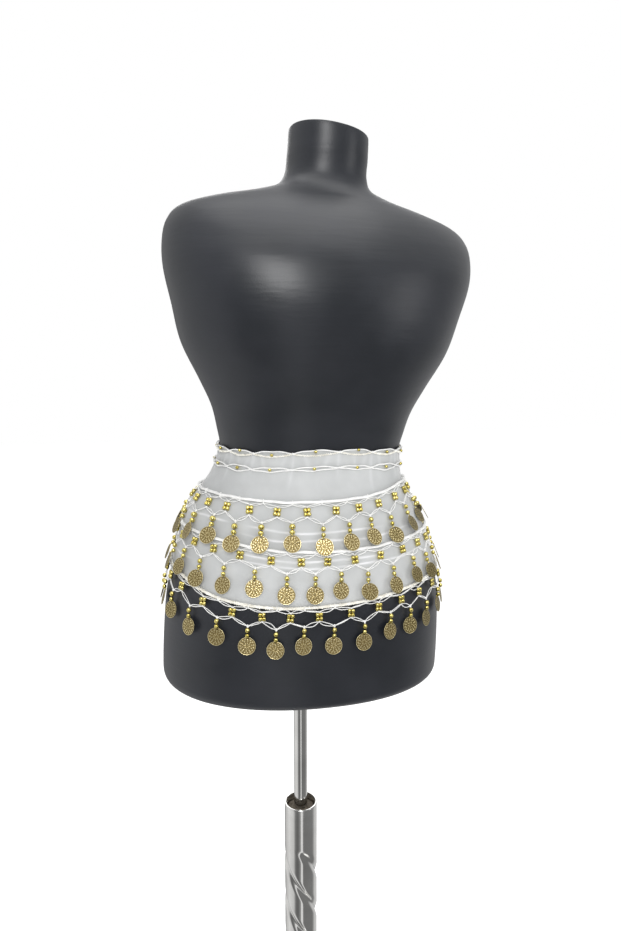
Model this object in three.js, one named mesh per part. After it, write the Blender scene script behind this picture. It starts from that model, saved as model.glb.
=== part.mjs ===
// A beaded belly dance belt, worn on a limbless dress form that stands on a round chrome stand.
// Millimetres, +Z up, the belt's front towards -Y. The origin is the centre of the base's underside.
// The form leans a little to +X on its upright stand, and the belt is laid round it: one open panel
// of chiffon that laps at the centre back, two corded edgings at the waist, and three rows of netted
// thread with bead clusters and coin pendants, each row hanging from a cord of its own.

import * as THREE from "three";
import { mergeVertices } from "three/addons/utils/BufferGeometryUtils.js";

// ---- Stand ----
const BASE_RADIUS = 175;
const BASE_RIM_HEIGHT = 5;
const BASE_CROWN_HEIGHT = 15;
const BASE_CROWN_RADIUS = 46;
const BASE_SEGMENTS = 40;
const COLUMN_RADIUS = 21.5;
const COLUMN_TOP = 522;
const COLUMN_WALL = 2;
const COLUMN_RECESS = 9; // depth of the open rim above the plug
const TWIST_TOP = 465; // the twisted flutes end here, and the tube is plain above
const TWIST_BOTTOM = 70;
const TWIST_LEAD = 176; // height of one full turn of a flute
const TWIST_STARTS = 3;
const FLUTE_DEPTH = 2.6;
const TWIST_STEP = 13; // height between two sections of the twisted stretch
const POLE_RADIUS = 8.8;
const POLE_SEGMENTS = 20;
const PLUG_THICKNESS = 5;

// ---- Dress form ----
const FORM_BOTTOM = 710; // height of the form's underside on the stand's axis
const FORM_LEAN = THREE.MathUtils.degToRad(2.6);
const FORM_SEGMENTS = 34;
const FORM_EDGE_RADIUS = 14;
const SQUARENESS = 2.15; // exponent of the cross-section's rounded outline: 2 is an ellipse
const FLANGE_RADIUS = 42;
const FLANGE_THICKNESS = 8;

// Cross-sections of the form, by their height above its underside. Each is a row of the solid.
const FORM_SECTIONS = [
  { height: 0, halfWidth: 176, halfDepth: 120, centreX: 3, centreY: 2 },
  { height: 37, halfWidth: 176.5, halfDepth: 121, centreX: 3, centreY: 3 },
  { height: 91, halfWidth: 174.5, halfDepth: 120, centreX: 2.5, centreY: 3 },
  { height: 118, halfWidth: 171.5, halfDepth: 118, centreX: 2, centreY: 2 },
  { height: 144, halfWidth: 165.5, halfDepth: 115, centreX: 1, centreY: 1 },
  { height: 170, halfWidth: 158, halfDepth: 110, centreX: -0.5, centreY: 0 },
  { height: 197, halfWidth: 149, halfDepth: 104, centreX: -2, centreY: 0 },
  { height: 217, halfWidth: 140.5, halfDepth: 98, centreX: -3.5, centreY: 0 },
  { height: 235, halfWidth: 129, halfDepth: 91.5, centreX: -3.5, centreY: 0 },
  { height: 250, halfWidth: 120, halfDepth: 87, centreX: -2.5, centreY: 0 },
  { height: 262, halfWidth: 114.8, halfDepth: 84.2, centreX: -1.5, centreY: 0 },
  { height: 275, halfWidth: 111.7, halfDepth: 82.6, centreX: -0.5, centreY: 0 },
  { height: 290, halfWidth: 111, halfDepth: 82, centreX: 0, centreY: 0 },
  { height: 306, halfWidth: 114.5, halfDepth: 83.5, centreX: 0, centreY: -1 },
  { height: 335, halfWidth: 122.5, halfDepth: 88, centreX: 0, centreY: -3 },
  { height: 364, halfWidth: 137, halfDepth: 96, centreX: 0, centreY: -5 },
  { height: 407, halfWidth: 160, halfDepth: 109, centreX: 0, centreY: -8 },
  { height: 450, halfWidth: 172.5, halfDepth: 116, centreX: 1, centreY: -8 },
  { height: 490, halfWidth: 184, halfDepth: 115, centreX: 3, centreY: -4 },
  { height: 520, halfWidth: 186, halfDepth: 106, centreX: 4, centreY: 0 },
  { height: 541, halfWidth: 181, halfDepth: 94, centreX: 4, centreY: 3 },
  { height: 556, halfWidth: 166, halfDepth: 82, centreX: 3, centreY: 5 },
  { height: 568, halfWidth: 132, halfDepth: 70, centreX: 2, centreY: 6 },
  { height: 577, halfWidth: 95, halfDepth: 60, centreX: 2, centreY: 6 },
  { height: 588, halfWidth: 61, halfDepth: 51, centreX: 3, centreY: 5 },
  { height: 603, halfWidth: 49, halfDepth: 46.5, centreX: 5, centreY: 4 },
  { height: 628, halfWidth: 47, halfDepth: 46, centreX: 6, centreY: 2 },
  { height: 647, halfWidth: 46.5, halfDepth: 45.5, centreX: 6, centreY: 1 },
  { height: 652, halfWidth: 43.5, halfDepth: 42.5, centreX: 6, centreY: 1 },
];
const NECK_CUT_SLOPE = 0.085; // the neck's cap falls towards +X
const NECK_CUT_START = 603; // the sections begin to slope with it here, and do so fully at the top
const NECK_TOP = 652;

// ---- Belt ----
const CLOTH_CLEARANCE = 1.2; // between the form and the chiffon
const CLOTH_WALL = 1;
const CLOTH_COLUMNS = 56;
const ROWS_PER_BAND = 3; // rows of cells between one cord and the next
const LAP_ANGLE = THREE.MathUtils.degToRad(14); // overlap of the ends at the centre back
const LAP_RISE = 1.8; // how far the upper end lies outside the lower one
const LAP_RAMP_ANGLE = THREE.MathUtils.degToRad(11);
const TRIM_GAP = 0.7; // between the chiffon and what is sewn on it
const TRIM_END_ANGLE = THREE.MathUtils.degToRad(1);

// Height of each line of the belt above the form's underside, by the angle round the form from the
// front towards +X, in degrees. The belt hangs lowest just left of the front and rises to the sides.
const BELT_LINES = [
  { angle: -180, waist: 292, cord1: 243, cord2: 200, hem: 152 },
  { angle: -125, waist: 289, cord1: 237, cord2: 199, hem: 153 },
  { angle: -75, waist: 287.5, cord1: 237.5, cord2: 196, hem: 147 },
  { angle: -45, waist: 287.5, cord1: 236, cord2: 190.5, hem: 130 },
  { angle: -20, waist: 290, cord1: 235, cord2: 184.5, hem: 124 },
  { angle: 5, waist: 293.5, cord1: 237.5, cord2: 184.5, hem: 127 },
  { angle: 30, waist: 292.5, cord1: 243.5, cord2: 189.5, hem: 135.5 },
  { angle: 52, waist: 292, cord1: 251, cord2: 194, hem: 142 },
  { angle: 95, waist: 292, cord1: 252, cord2: 198, hem: 149 },
  { angle: 140, waist: 292, cord1: 247, cord2: 200, hem: 152 },
  { angle: 180, waist: 292, cord1: 243, cord2: 200, hem: 152 },
];

// Waist edgings: flat bands that swell into eyes and pinch at the knots between them.
const EDGING_EYES = 15;
const EDGING_KNOT_HALF_HEIGHT = 1.6;
const EDGING_EYE_HALF_HEIGHT = 4.2;
const EDGING_THICKNESS = 2;
const TOP_EDGING_DROP = 2;
const SECOND_EDGING_DROP = 20;
const EDGING_PHASE = 0.96; // puts one pinch 21 degrees left of the front

// Coin fringe. A drop is measured down the form from the middle of the row's cord.
const CORD_HALF_HEIGHT = 2;
const CORD_THICKNESS = 3;
const THREAD_THICKNESS = 1.8;
const KNOT_HALF_WIDTH = 1.7;
const KNOT_DROP = 5.2;
const CLUSTER = { drop: 11.2, halfWidth: 4, halfHeight: 4.6, cornerX: 2.4, cornerY: 2, thickness: 3.8 };
const JUNCTION = { topDrop: 19.2, drop: 22.2, halfWidth: 1.3 };
const PENDANT_BEADS = { topDrop: 25, bottomDrop: 31.6, halfWidth: 2.9, thickness: 5.4 };
const COIN = { drop: 44.5, radius: 10.1, thickness: 1.3, corners: 10, turn: 10, swing: 5 };
const COIN_LIFT_ON_CLOTH = 4.9; // middle of the coin above the form
const COIN_LIFT_ON_CORD = 8.9; // where its lower edge lies over the next row's cord
const COIN_TILT = THREE.MathUtils.degToRad(7); // the lower edge stands out

const FRINGE_ROWS = [
  { name: "fringe_row_1", line: "cord1", below: "cord2", unitsRound: 26, front: -0.016, seed: 1.1 },
  { name: "fringe_row_2", line: "cord2", below: "hem", unitsRound: 28, front: -0.027, seed: 2.7 },
  { name: "fringe_row_3", line: "hem", below: null, unitsRound: 29, front: -0.035, seed: 4.3 },
];

// The net is knotted by hand, so each pendant sits a little off its even place. Both follow a wave.
const PENDANT_DRIFT = 0.08; // most along the belt, as a share of the pitch
const PENDANT_HANG = 2.5; // most below or above the even drop
const HANG_SHARE = { junction: 0.6, topBead: 0.75, bottomBead: 0.85 }; // of the coin's hang

const FINISHES = {
  chrome: { color: 0xc9ccd0, roughness: 0.12, metalness: 1 },
  plug: { color: 0x6d6558, roughness: 0.7, metalness: 0 },
  leatherette: { color: 0x3a3b40, roughness: 0.35, metalness: 0 },
  chiffon: { color: 0xdfe2e6, roughness: 0.75, metalness: 0 },
  thread: { color: 0xf1f0ea, roughness: 0.8, metalness: 0 },
  gold: { color: 0xc2a75a, roughness: 0.35, metalness: 1 },
};

// Smooth value of one column of a table at x, through its rows.
function tableValue(rows, key, column, x) {
  let upper = 1;
  while (upper < rows.length - 1 && rows[upper][key] < x) upper += 1;
  const [before, from, to, after] = [upper - 2, upper - 1, upper, upper + 1].map(
    (i) => rows[THREE.MathUtils.clamp(i, 0, rows.length - 1)],
  );
  const span = to[key] - from[key];
  const share = THREE.MathUtils.clamp((x - from[key]) / span, 0, 1);
  const slopeFrom = ((to[column] - before[column]) / (to[key] - before[key])) * span;
  const slopeTo = ((after[column] - from[column]) / (after[key] - from[key])) * span;
  const square = share * share;
  const cube = square * share;
  return (
    (2 * cube - 3 * square + 1) * from[column] +
    (cube - 2 * square + share) * slopeFrom +
    (3 * square - 2 * cube) * to[column] +
    (cube - square) * slopeTo
  );
}

// Point of the form's skin at an angle from the front and a height above the underside.
function skinPoint(angle, height) {
  const [halfWidth, halfDepth, centreX, centreY] = ["halfWidth", "halfDepth", "centreX", "centreY"].map(
    (column) => tableValue(FORM_SECTIONS, "height", column, height),
  );
  const sine = Math.sin(angle);
  const cosine = Math.cos(angle);
  const power = 2 / SQUARENESS;
  return new THREE.Vector3(
    centreX + halfWidth * Math.sign(sine) * Math.abs(sine) ** power,
    centreY - halfDepth * Math.sign(cosine) * Math.abs(cosine) ** power,
    height,
  );
}

// Directions on the skin: along it towards larger angles, down it, and out of it.
function skinFrame(angle, height) {
  const step = 0.02;
  const rise = 1.5;
  const along = skinPoint(angle + step, height).sub(skinPoint(angle - step, height)).normalize();
  const down = skinPoint(angle, height - rise).sub(skinPoint(angle, height + rise)).normalize();
  const out = new THREE.Vector3().crossVectors(down, along).normalize();
  return { origin: skinPoint(angle, height), along, down, out };
}

// Height of a line of the belt at an angle, which may run past the centre back.
function lineHeight(line, angle) {
  const degrees = THREE.MathUtils.radToDeg(angle);
  const wrapped = THREE.MathUtils.euclideanModulo(degrees + 180, 360) - 180;
  return tableValue(BELT_LINES, "angle", line, wrapped);
}

// How far the belt's upper end is lifted over its lower end at the centre back.
function lapLift(angle) {
  return LAP_RISE * THREE.MathUtils.smoothstep(angle, Math.PI - LAP_RAMP_ANGLE, Math.PI);
}

// Angle at a share of the way round the hips, measured along the skin from the front.
function makeAngleAt() {
  const steps = 720;
  const height = 190;
  const lengths = [0];
  for (let i = 1; i <= steps; i += 1) {
    const from = skinPoint(-Math.PI + ((i - 1) / steps) * 2 * Math.PI, height);
    const to = skinPoint(-Math.PI + (i / steps) * 2 * Math.PI, height);
    lengths.push(lengths[i - 1] + from.distanceTo(to));
  }
  const round = lengths[steps];
  return (share) => {
    const turns = Math.floor(share + 0.5);
    const length = (share + 0.5 - turns) * round;
    const upper = Math.max(1, lengths.findIndex((value) => value >= length));
    const part = (length - lengths[upper - 1]) / (lengths[upper] - lengths[upper - 1]);
    return -Math.PI + ((upper - 1 + part) / steps + turns) * 2 * Math.PI;
  };
}
const angleAt = makeAngleAt();

// Closed geometry from points and triangles.
function solidGeometry(points, triangles) {
  const geometry = new THREE.BufferGeometry().setFromPoints(points);
  geometry.setIndex(triangles);
  const merged = mergeVertices(geometry, 1e-4);
  merged.computeVertexNormals();
  return merged;
}

// Solid through rings of equal counts, each ring counter-clockwise from above, with flat ends.
function loft(rings) {
  const count = rings[0].length;
  const triangles = [];
  rings.slice(1).forEach((ring, r) => {
    for (let i = 0; i < count; i += 1) {
      const next = (i + 1) % count;
      const [a, b] = [r * count + i, r * count + next];
      triangles.push(a, b, b + count, a, b + count, a + count);
    }
  });
  const last = (rings.length - 1) * count;
  for (let i = 1; i < count - 1; i += 1) {
    triangles.push(0, i + 1, i);
    triangles.push(last, last + i, last + i + 1);
  }
  return solidGeometry(rings.flat(), triangles);
}

// A wall made of flat cells that share corners: each corner has an inner and an outer point.
class CellWall {
  constructor() {
    this.outer = [];
    this.inner = [];
    this.cells = [];
  }

  corner(inner, outer) {
    this.inner.push(inner);
    this.outer.push(outer);
    return this.inner.length - 1;
  }

  // Corner on the belt: its drop is measured from a line, its shift along the skin, and its lift out.
  beltCorner(line, angle, drop, shift, lift, thickness) {
    const frame = skinFrame(angle, lineHeight(line, angle) - drop);
    const foot = frame.origin.addScaledVector(frame.along, shift);
    const innerLift = lift + lapLift(angle);
    return this.corner(
      foot.clone().addScaledVector(frame.out, innerLift),
      foot.clone().addScaledVector(frame.out, innerLift + thickness),
    );
  }

  // The corners run counter-clockwise as seen from outside.
  cell(...corners) {
    this.cells.push(corners);
  }

  geometry() {
    const shift = this.outer.length;
    const edges = new Set(this.cells.flatMap((c) => c.map((a, i) => `${a}_${c[(i + 1) % c.length]}`)));
    const triangles = [];
    for (const corners of this.cells) {
      for (let i = 1; i < corners.length - 1; i += 1) {
        const [a, b, c] = [corners[0], corners[i], corners[i + 1]];
        triangles.push(a, b, c, a + shift, c + shift, b + shift);
      }
      corners.forEach((a, i) => {
        const b = corners[(i + 1) % corners.length];
        if (!edges.has(`${b}_${a}`)) triangles.push(b, a, a + shift, b, a + shift, b + shift);
      });
    }
    return solidGeometry([...this.outer, ...this.inner], triangles);
  }
}

function piece(name, geometry, finish) {
  const mesh = new THREE.Mesh(geometry, new THREE.MeshStandardMaterial(FINISHES[finish]));
  mesh.name = name;
  return mesh;
}

function circle(radius, height, segments) {
  return Array.from({ length: segments }, (_, i) => {
    const angle = (i / segments) * 2 * Math.PI;
    return new THREE.Vector3(radius * Math.cos(angle), radius * Math.sin(angle), height);
  });
}

// ---- Stand ----
function standBase() {
  return loft([
    circle(BASE_RADIUS, 0, BASE_SEGMENTS),
    circle(BASE_RADIUS, BASE_RIM_HEIGHT, BASE_SEGMENTS),
    circle(BASE_RADIUS - 7, BASE_RIM_HEIGHT + 3, BASE_SEGMENTS),
    circle(BASE_CROWN_RADIUS, BASE_CROWN_HEIGHT, BASE_SEGMENTS),
  ]);
}

// Section of the fluted column: each start has one pressed-in corner and three on the full radius.
function flutedRing(height, depth) {
  const cornersPerStart = 4;
  const corners = TWIST_STARTS * cornersPerStart;
  const turn = -(height / TWIST_LEAD) * 2 * Math.PI;
  return Array.from({ length: corners }, (_, i) => {
    const radius = i % cornersPerStart ? COLUMN_RADIUS : COLUMN_RADIUS - depth;
    const angle = turn + (i / corners) * 2 * Math.PI;
    return new THREE.Vector3(radius * Math.cos(angle), radius * Math.sin(angle), height);
  });
}

function standColumn() {
  const foot = BASE_CROWN_HEIGHT + 0.3;
  const steps = Math.round((TWIST_TOP - TWIST_BOTTOM) / TWIST_STEP);
  const rings = [flutedRing(TWIST_BOTTOM, 0).map((point) => point.setZ(foot))];
  for (let i = 0; i <= steps; i += 1) {
    const share = i / steps;
    const ends = THREE.MathUtils.smoothstep(Math.min(share, 1 - share), 0, 1 / steps);
    rings.push(flutedRing(THREE.MathUtils.lerp(TWIST_BOTTOM, TWIST_TOP, share), FLUTE_DEPTH * ends));
  }
  const top = flutedRing(TWIST_TOP, 0).map((point) => point.setZ(COLUMN_TOP));
  const bore = (COLUMN_RADIUS - COLUMN_WALL) / COLUMN_RADIUS;
  const mouth = top.map((point) => new THREE.Vector3(point.x * bore, point.y * bore, COLUMN_TOP));
  const floor = COLUMN_TOP - COLUMN_RECESS - PLUG_THICKNESS;
  return loft([...rings, top, mouth, mouth.map((point) => point.clone().setZ(floor))]);
}

function columnPlug() {
  const radius = (COLUMN_RADIUS - COLUMN_WALL) * Math.cos(Math.PI / 12) - 0.4;
  const bottom = COLUMN_TOP - COLUMN_RECESS - PLUG_THICKNESS + 0.3;
  return loft([circle(radius, bottom, 24), circle(radius, COLUMN_TOP - COLUMN_RECESS, 24)]);
}

function standPole() {
  const foot = COLUMN_TOP - COLUMN_RECESS + 0.3;
  const head = FORM_BOTTOM - FLANGE_THICKNESS - 1.4;
  return loft([circle(POLE_RADIUS, foot, POLE_SEGMENTS), circle(POLE_RADIUS, head, POLE_SEGMENTS)]);
}

// ---- Dress form ----
function formRing(height, inset) {
  return Array.from({ length: FORM_SEGMENTS }, (_, i) => {
    const frame = skinFrame((i / FORM_SEGMENTS) * 2 * Math.PI, height);
    return frame.origin.setZ(0).addScaledVector(frame.out.setZ(0).normalize(), -inset);
  });
}

function formTorso() {
  const edgeSteps = 3;
  const rings = [];
  for (let i = 0; i <= edgeSteps; i += 1) {
    const angle = (i / edgeSteps) * (Math.PI / 2);
    const rise = FORM_EDGE_RADIUS * (1 - Math.cos(angle));
    const ring = formRing(FORM_EDGE_RADIUS, FORM_EDGE_RADIUS * (1 - Math.sin(angle)));
    rings.push(ring.map((point) => point.setZ(rise)));
  }
  for (const { height, centreX } of FORM_SECTIONS) {
    if (height <= FORM_EDGE_RADIUS) continue;
    const slope = NECK_CUT_SLOPE * THREE.MathUtils.smoothstep(height, NECK_CUT_START, NECK_TOP);
    rings.push(formRing(height, 0).map((point) => point.setZ(height - slope * (point.x - centreX))));
  }
  return loft(rings);
}

function formFlange() {
  return loft([circle(FLANGE_RADIUS, -FLANGE_THICKNESS, 24), circle(FLANGE_RADIUS, -0.3, 24)]);
}

// ---- Belt ----
function clothPanel() {
  const wall = new CellWall();
  const lines = ["hem", "cord2", "cord1", "waist"];
  const span = 2 * Math.PI + LAP_ANGLE;
  let previous = null;
  for (let i = 0; i <= CLOTH_COLUMNS; i += 1) {
    const angle = -Math.PI + (i / CLOTH_COLUMNS) * span;
    const column = [];
    for (let band = 0; band < lines.length - 1; band += 1) {
      const height = lineHeight(lines[band], angle) - lineHeight(lines[band + 1], angle);
      const steps = ROWS_PER_BAND + (band === lines.length - 2 ? 1 : 0);
      for (let row = 0; row < steps; row += 1) {
        const drop = (row / ROWS_PER_BAND) * height;
        column.push(wall.beltCorner(lines[band], angle, drop, 0, CLOTH_CLEARANCE, CLOTH_WALL));
      }
    }
    for (let row = 1; previous && row < column.length; row += 1) {
      wall.cell(previous[row], previous[row - 1], column[row - 1], column[row]);
    }
    previous = column;
  }
  return wall.geometry();
}

const TRIM_LIFT = CLOTH_CLEARANCE + CLOTH_WALL + TRIM_GAP;
const TRIM_START = -Math.PI + LAP_ANGLE + TRIM_END_ANGLE;
const TRIM_END = Math.PI + LAP_ANGLE - TRIM_END_ANGLE;

function waistEdging(drop) {
  const wall = new CellWall();
  const stations = EDGING_EYES * 4;
  let previous = null;
  for (let i = 0; i <= stations; i += 1) {
    const angle = THREE.MathUtils.lerp(TRIM_START, TRIM_END, i / stations);
    const swell = Math.sin((i / 4 + EDGING_PHASE) * Math.PI) ** 2;
    const half = THREE.MathUtils.lerp(EDGING_KNOT_HALF_HEIGHT, EDGING_EYE_HALF_HEIGHT, swell);
    const top = wall.beltCorner("waist", angle, drop - half, 0, TRIM_LIFT, EDGING_THICKNESS);
    const bottom = wall.beltCorner("waist", angle, drop + half, 0, TRIM_LIFT, EDGING_THICKNESS);
    if (previous) wall.cell(previous.top, previous.bottom, bottom, top);
    previous = { top, bottom };
  }
  return wall.geometry();
}

function pendantDrift(row, number) {
  return PENDANT_DRIFT * Math.sin(number * 1.3 + row.seed);
}

function pendantHang(row, number) {
  return PENDANT_HANG * Math.sin(number * 2.1 + row.seed);
}

// A pendant lies along the steepest fall of the skin, not along a line of equal angle. This is the
// angle at a drop that is straight above the place at the coin's drop.
function hangingAngle(line, coinAngle, drop) {
  const coin = skinFrame(coinAngle, lineHeight(line, coinAngle) - COIN.drop);
  const step = 0.01;
  let angle = coinAngle;
  for (let i = 0; i < 3; i += 1) {
    const height = lineHeight(line, angle) - drop;
    const travel = skinPoint(angle + step, height).sub(skinPoint(angle - step, height)).dot(coin.along);
    const off = coin.origin.clone().sub(skinPoint(angle, height)).dot(coin.along);
    angle += (off / travel) * 2 * step;
  }
  return angle;
}

// Coin with its own small turn about its hanging line and swing in its plane.
function coinCorners(wall, row, angle, number) {
  const height = lineHeight(row.line, angle) - COIN.drop - pendantHang(row, number);
  const onCord = row.below && height - COIN.radius < lineHeight(row.below, angle) + CORD_HALF_HEIGHT + 1;
  const frame = skinFrame(angle, height);
  const turn = THREE.MathUtils.degToRad(COIN.turn) * Math.sin(number * 2.4 + row.seed);
  const swing = THREE.MathUtils.degToRad(COIN.swing) * Math.sin(number * 1.7 + row.seed * 2);
  const down = frame.down.clone().applyAxisAngle(frame.along, -COIN_TILT);
  const along = frame.along.clone().applyAxisAngle(down, turn);
  const out = new THREE.Vector3().crossVectors(down, along).normalize();
  along.applyAxisAngle(out, swing);
  down.applyAxisAngle(out, swing);
  const lift = (onCord ? COIN_LIFT_ON_CORD : COIN_LIFT_ON_CLOTH) + lapLift(angle);
  const centre = frame.origin.clone().addScaledVector(frame.out, lift);
  const topHalfAngle = Math.asin(JUNCTION.halfWidth / COIN.radius);
  const sweep = (2 * Math.PI - 2 * topHalfAngle) / (COIN.corners - 1);
  return Array.from({ length: COIN.corners }, (_, i) => {
    const around = -topHalfAngle - i * sweep;
    const middle = centre
      .clone()
      .addScaledVector(along, COIN.radius * Math.sin(around))
      .addScaledVector(down, -COIN.radius * Math.cos(around));
    return wall.corner(
      middle.clone().addScaledVector(out, -COIN.thickness / 2),
      middle.clone().addScaledVector(out, COIN.thickness / 2),
    );
  });
}

// Eight-cornered block of four beads, with the corner pairs that its four threads reach.
function clusterCorners(at) {
  const { drop, halfWidth, halfHeight, cornerX, cornerY, thickness } = CLUSTER;
  const [innerX, innerY] = [halfWidth - cornerX, halfHeight - cornerY];
  const corner = (x, y) => at(drop + y, x, thickness);
  return {
    topLeft: corner(-innerX, -halfHeight),
    leftTop: corner(-halfWidth, -innerY),
    leftBottom: corner(-halfWidth, innerY),
    bottomLeft: corner(-innerX, halfHeight),
    bottomRight: corner(innerX, halfHeight),
    rightBottom: corner(halfWidth, innerY),
    rightTop: corner(halfWidth, -innerY),
    topRight: corner(innerX, -halfHeight),
  };
}

function fringeRow(row) {
  const wall = new CellWall();
  const at = (angle) => (drop, shift, thickness) =>
    wall.beltCorner(row.line, hangingAngle(row.line, angle, drop), drop, shift, TRIM_LIFT, thickness);

  // Unit numbers that fit between the trim's two ends, counted from the unit nearest the front.
  const unitAngle = (number) => angleAt(row.front + number / row.unitsRound);
  const pendantAngle = (number) => unitAngle(number + pendantDrift(row, number));
  let first = 0;
  while (unitAngle(first - 1.5) > TRIM_START) first -= 1;
  let last = 0;
  while (unitAngle(last + 1.5) < TRIM_END) last += 1;

  const clusters = [];
  for (let number = first; number <= last + 1; number += 1) {
    const place = at((pendantAngle(number - 1) + pendantAngle(number)) / 2);
    const cord = {
      top: place(-CORD_HALF_HEIGHT, 0, CORD_THICKNESS),
      bottom: place(CORD_HALF_HEIGHT, 0, CORD_THICKNESS),
    };
    const block = clusterCorners(place);
    wall.cell(...Object.values(block));
    clusters.push({ cord, block });
  }

  for (let number = first; number <= last; number += 1) {
    const angle = pendantAngle(number);
    const hang = pendantHang(row, number);
    const place = at(angle);
    const [left, right] = [clusters[number - first], clusters[number - first + 1]];
    const cordTop = place(-CORD_HALF_HEIGHT, 0, CORD_THICKNESS);
    const knotLeft = place(CORD_HALF_HEIGHT, -KNOT_HALF_WIDTH, CORD_THICKNESS);
    const knotRight = place(CORD_HALF_HEIGHT, KNOT_HALF_WIDTH, CORD_THICKNESS);
    const knotFoot = place(KNOT_DROP, 0, THREAD_THICKNESS);
    wall.cell(cordTop, left.cord.top, left.cord.bottom, knotLeft);
    wall.cell(cordTop, knotLeft, knotRight);
    wall.cell(cordTop, knotRight, right.cord.bottom, right.cord.top);
    wall.cell(knotLeft, knotFoot, knotRight);
    wall.cell(knotLeft, left.block.topRight, left.block.rightTop, knotFoot);
    wall.cell(knotFoot, right.block.leftTop, right.block.topLeft, knotRight);

    const junctionDrop = JUNCTION.drop + HANG_SHARE.junction * hang;
    const junctionTop = place(JUNCTION.topDrop + HANG_SHARE.junction * hang, 0, THREAD_THICKNESS);
    const junctionLeft = place(junctionDrop, -JUNCTION.halfWidth, THREAD_THICKNESS);
    const junctionRight = place(junctionDrop, JUNCTION.halfWidth, THREAD_THICKNESS);
    wall.cell(junctionTop, junctionLeft, junctionRight);
    wall.cell(left.block.rightBottom, left.block.bottomRight, junctionLeft, junctionTop);
    wall.cell(junctionTop, junctionRight, right.block.bottomLeft, right.block.leftBottom);

    const beadDrops = [
      PENDANT_BEADS.topDrop + HANG_SHARE.topBead * hang,
      PENDANT_BEADS.bottomDrop + HANG_SHARE.bottomBead * hang,
    ];
    const beads = beadDrops.map((drop) => ({
      left: place(drop, -PENDANT_BEADS.halfWidth, PENDANT_BEADS.thickness),
      right: place(drop, PENDANT_BEADS.halfWidth, PENDANT_BEADS.thickness),
    }));
    const coin = coinCorners(wall, row, angle, number);
    const [coinLeft, coinRight] = [coin[0], coin[coin.length - 1]];
    wall.cell(junctionLeft, beads[0].left, beads[0].right, junctionRight);
    wall.cell(beads[0].left, beads[1].left, beads[1].right, beads[0].right);
    wall.cell(beads[1].left, coinLeft, coinRight, beads[1].right);
    wall.cell(...coin);
  }
  return wall.geometry();
}

// ---- Assembly ----
const assembly = new THREE.Group();
assembly.add(
  piece("stand_base", standBase(), "chrome"),
  piece("stand_column", standColumn(), "chrome"),
  piece("column_plug", columnPlug(), "plug"),
  piece("stand_pole", standPole(), "chrome"),
);

const leaning = new THREE.Group();
leaning.position.z = FORM_BOTTOM;
leaning.rotation.y = FORM_LEAN;
leaning.add(
  piece("form_flange", formFlange(), "chrome"),
  piece("form_torso", formTorso(), "leatherette"),
  piece("cloth_panel", clothPanel(), "chiffon"),
  piece("waist_edging_top", waistEdging(TOP_EDGING_DROP), "thread"),
  piece("waist_edging_second", waistEdging(SECOND_EDGING_DROP), "thread"),
);
for (const row of FRINGE_ROWS) leaning.add(piece(row.name, fringeRow(row), "gold"));
assembly.add(leaning);

export default assembly;
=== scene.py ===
# %% [markdown]
# # A coin-trimmed hip belt on its display form
# The belt is a strip of white chiffon that laps at the centre back. Two looped edgings finish its
# waist, and three nets of white thread, strung with gold beads and coins, hang from three cords.
# It rests on a limbless form of dark leatherette, which stands on a twisted chrome column.
#
# Blender works in metres. The belt's sizes are easier to read in millimetres, so every piece is
# made in millimetres in its own frame first, and one matrix then carries it to its place.

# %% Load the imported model
import math

import bmesh
import bpy
from mathutils import Matrix, Vector, noise


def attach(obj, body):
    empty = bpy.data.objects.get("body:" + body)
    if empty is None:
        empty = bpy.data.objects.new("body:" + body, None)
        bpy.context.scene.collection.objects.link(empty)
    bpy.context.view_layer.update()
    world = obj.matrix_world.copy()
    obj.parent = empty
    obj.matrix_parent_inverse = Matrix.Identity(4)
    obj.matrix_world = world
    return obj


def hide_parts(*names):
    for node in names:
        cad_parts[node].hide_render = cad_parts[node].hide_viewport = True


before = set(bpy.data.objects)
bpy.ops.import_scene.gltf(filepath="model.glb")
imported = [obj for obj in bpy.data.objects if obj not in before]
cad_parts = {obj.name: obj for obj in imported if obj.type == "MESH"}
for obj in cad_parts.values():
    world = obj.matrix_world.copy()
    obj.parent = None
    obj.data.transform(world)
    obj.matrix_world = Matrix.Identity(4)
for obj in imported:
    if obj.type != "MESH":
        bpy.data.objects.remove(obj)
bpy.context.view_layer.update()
print("nodes:", ", ".join(sorted(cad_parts)))

# %% [markdown]
# ## The camera
# A camera is described here by what a person with a tape would note: how far it stands from the
# column, how far it is turned round the form, its height, and how far it looks down. A 26 mm lens
# takes in the whole form from close by, so the near curve of the hips looks wide.

# %% Camera
CAMERA_TURN = math.radians(-16.5)
CAMERA_DISTANCE = 0.820
CAMERA_SHIFT = 0.013
CAMERA_HEIGHT = 1.100
CAMERA_PITCH = math.radians(8.7)

camera_data = bpy.data.cameras.new("camera")
camera_data.lens = 26
camera_data.sensor_width = 36
camera = bpy.data.objects.new("camera", camera_data)
camera.location = (
    CAMERA_DISTANCE * math.sin(CAMERA_TURN) + CAMERA_SHIFT * math.cos(CAMERA_TURN),
    -CAMERA_DISTANCE * math.cos(CAMERA_TURN) + CAMERA_SHIFT * math.sin(CAMERA_TURN),
    CAMERA_HEIGHT,
)
camera.rotation_euler = (math.pi / 2 - CAMERA_PITCH, 0, CAMERA_TURN)
bpy.context.collection.objects.link(camera)
bpy.context.scene.camera = camera
print("camera at", tuple(round(value, 4) for value in camera.location))

# %% [markdown]
# ## Two frames
# The stand is upright, and the form leans a little on it. A piece of the stand only needs its
# millimetres scaled to metres. A piece of the form or the belt is tipped about the column's axis
# at the form's underside as well.

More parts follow.
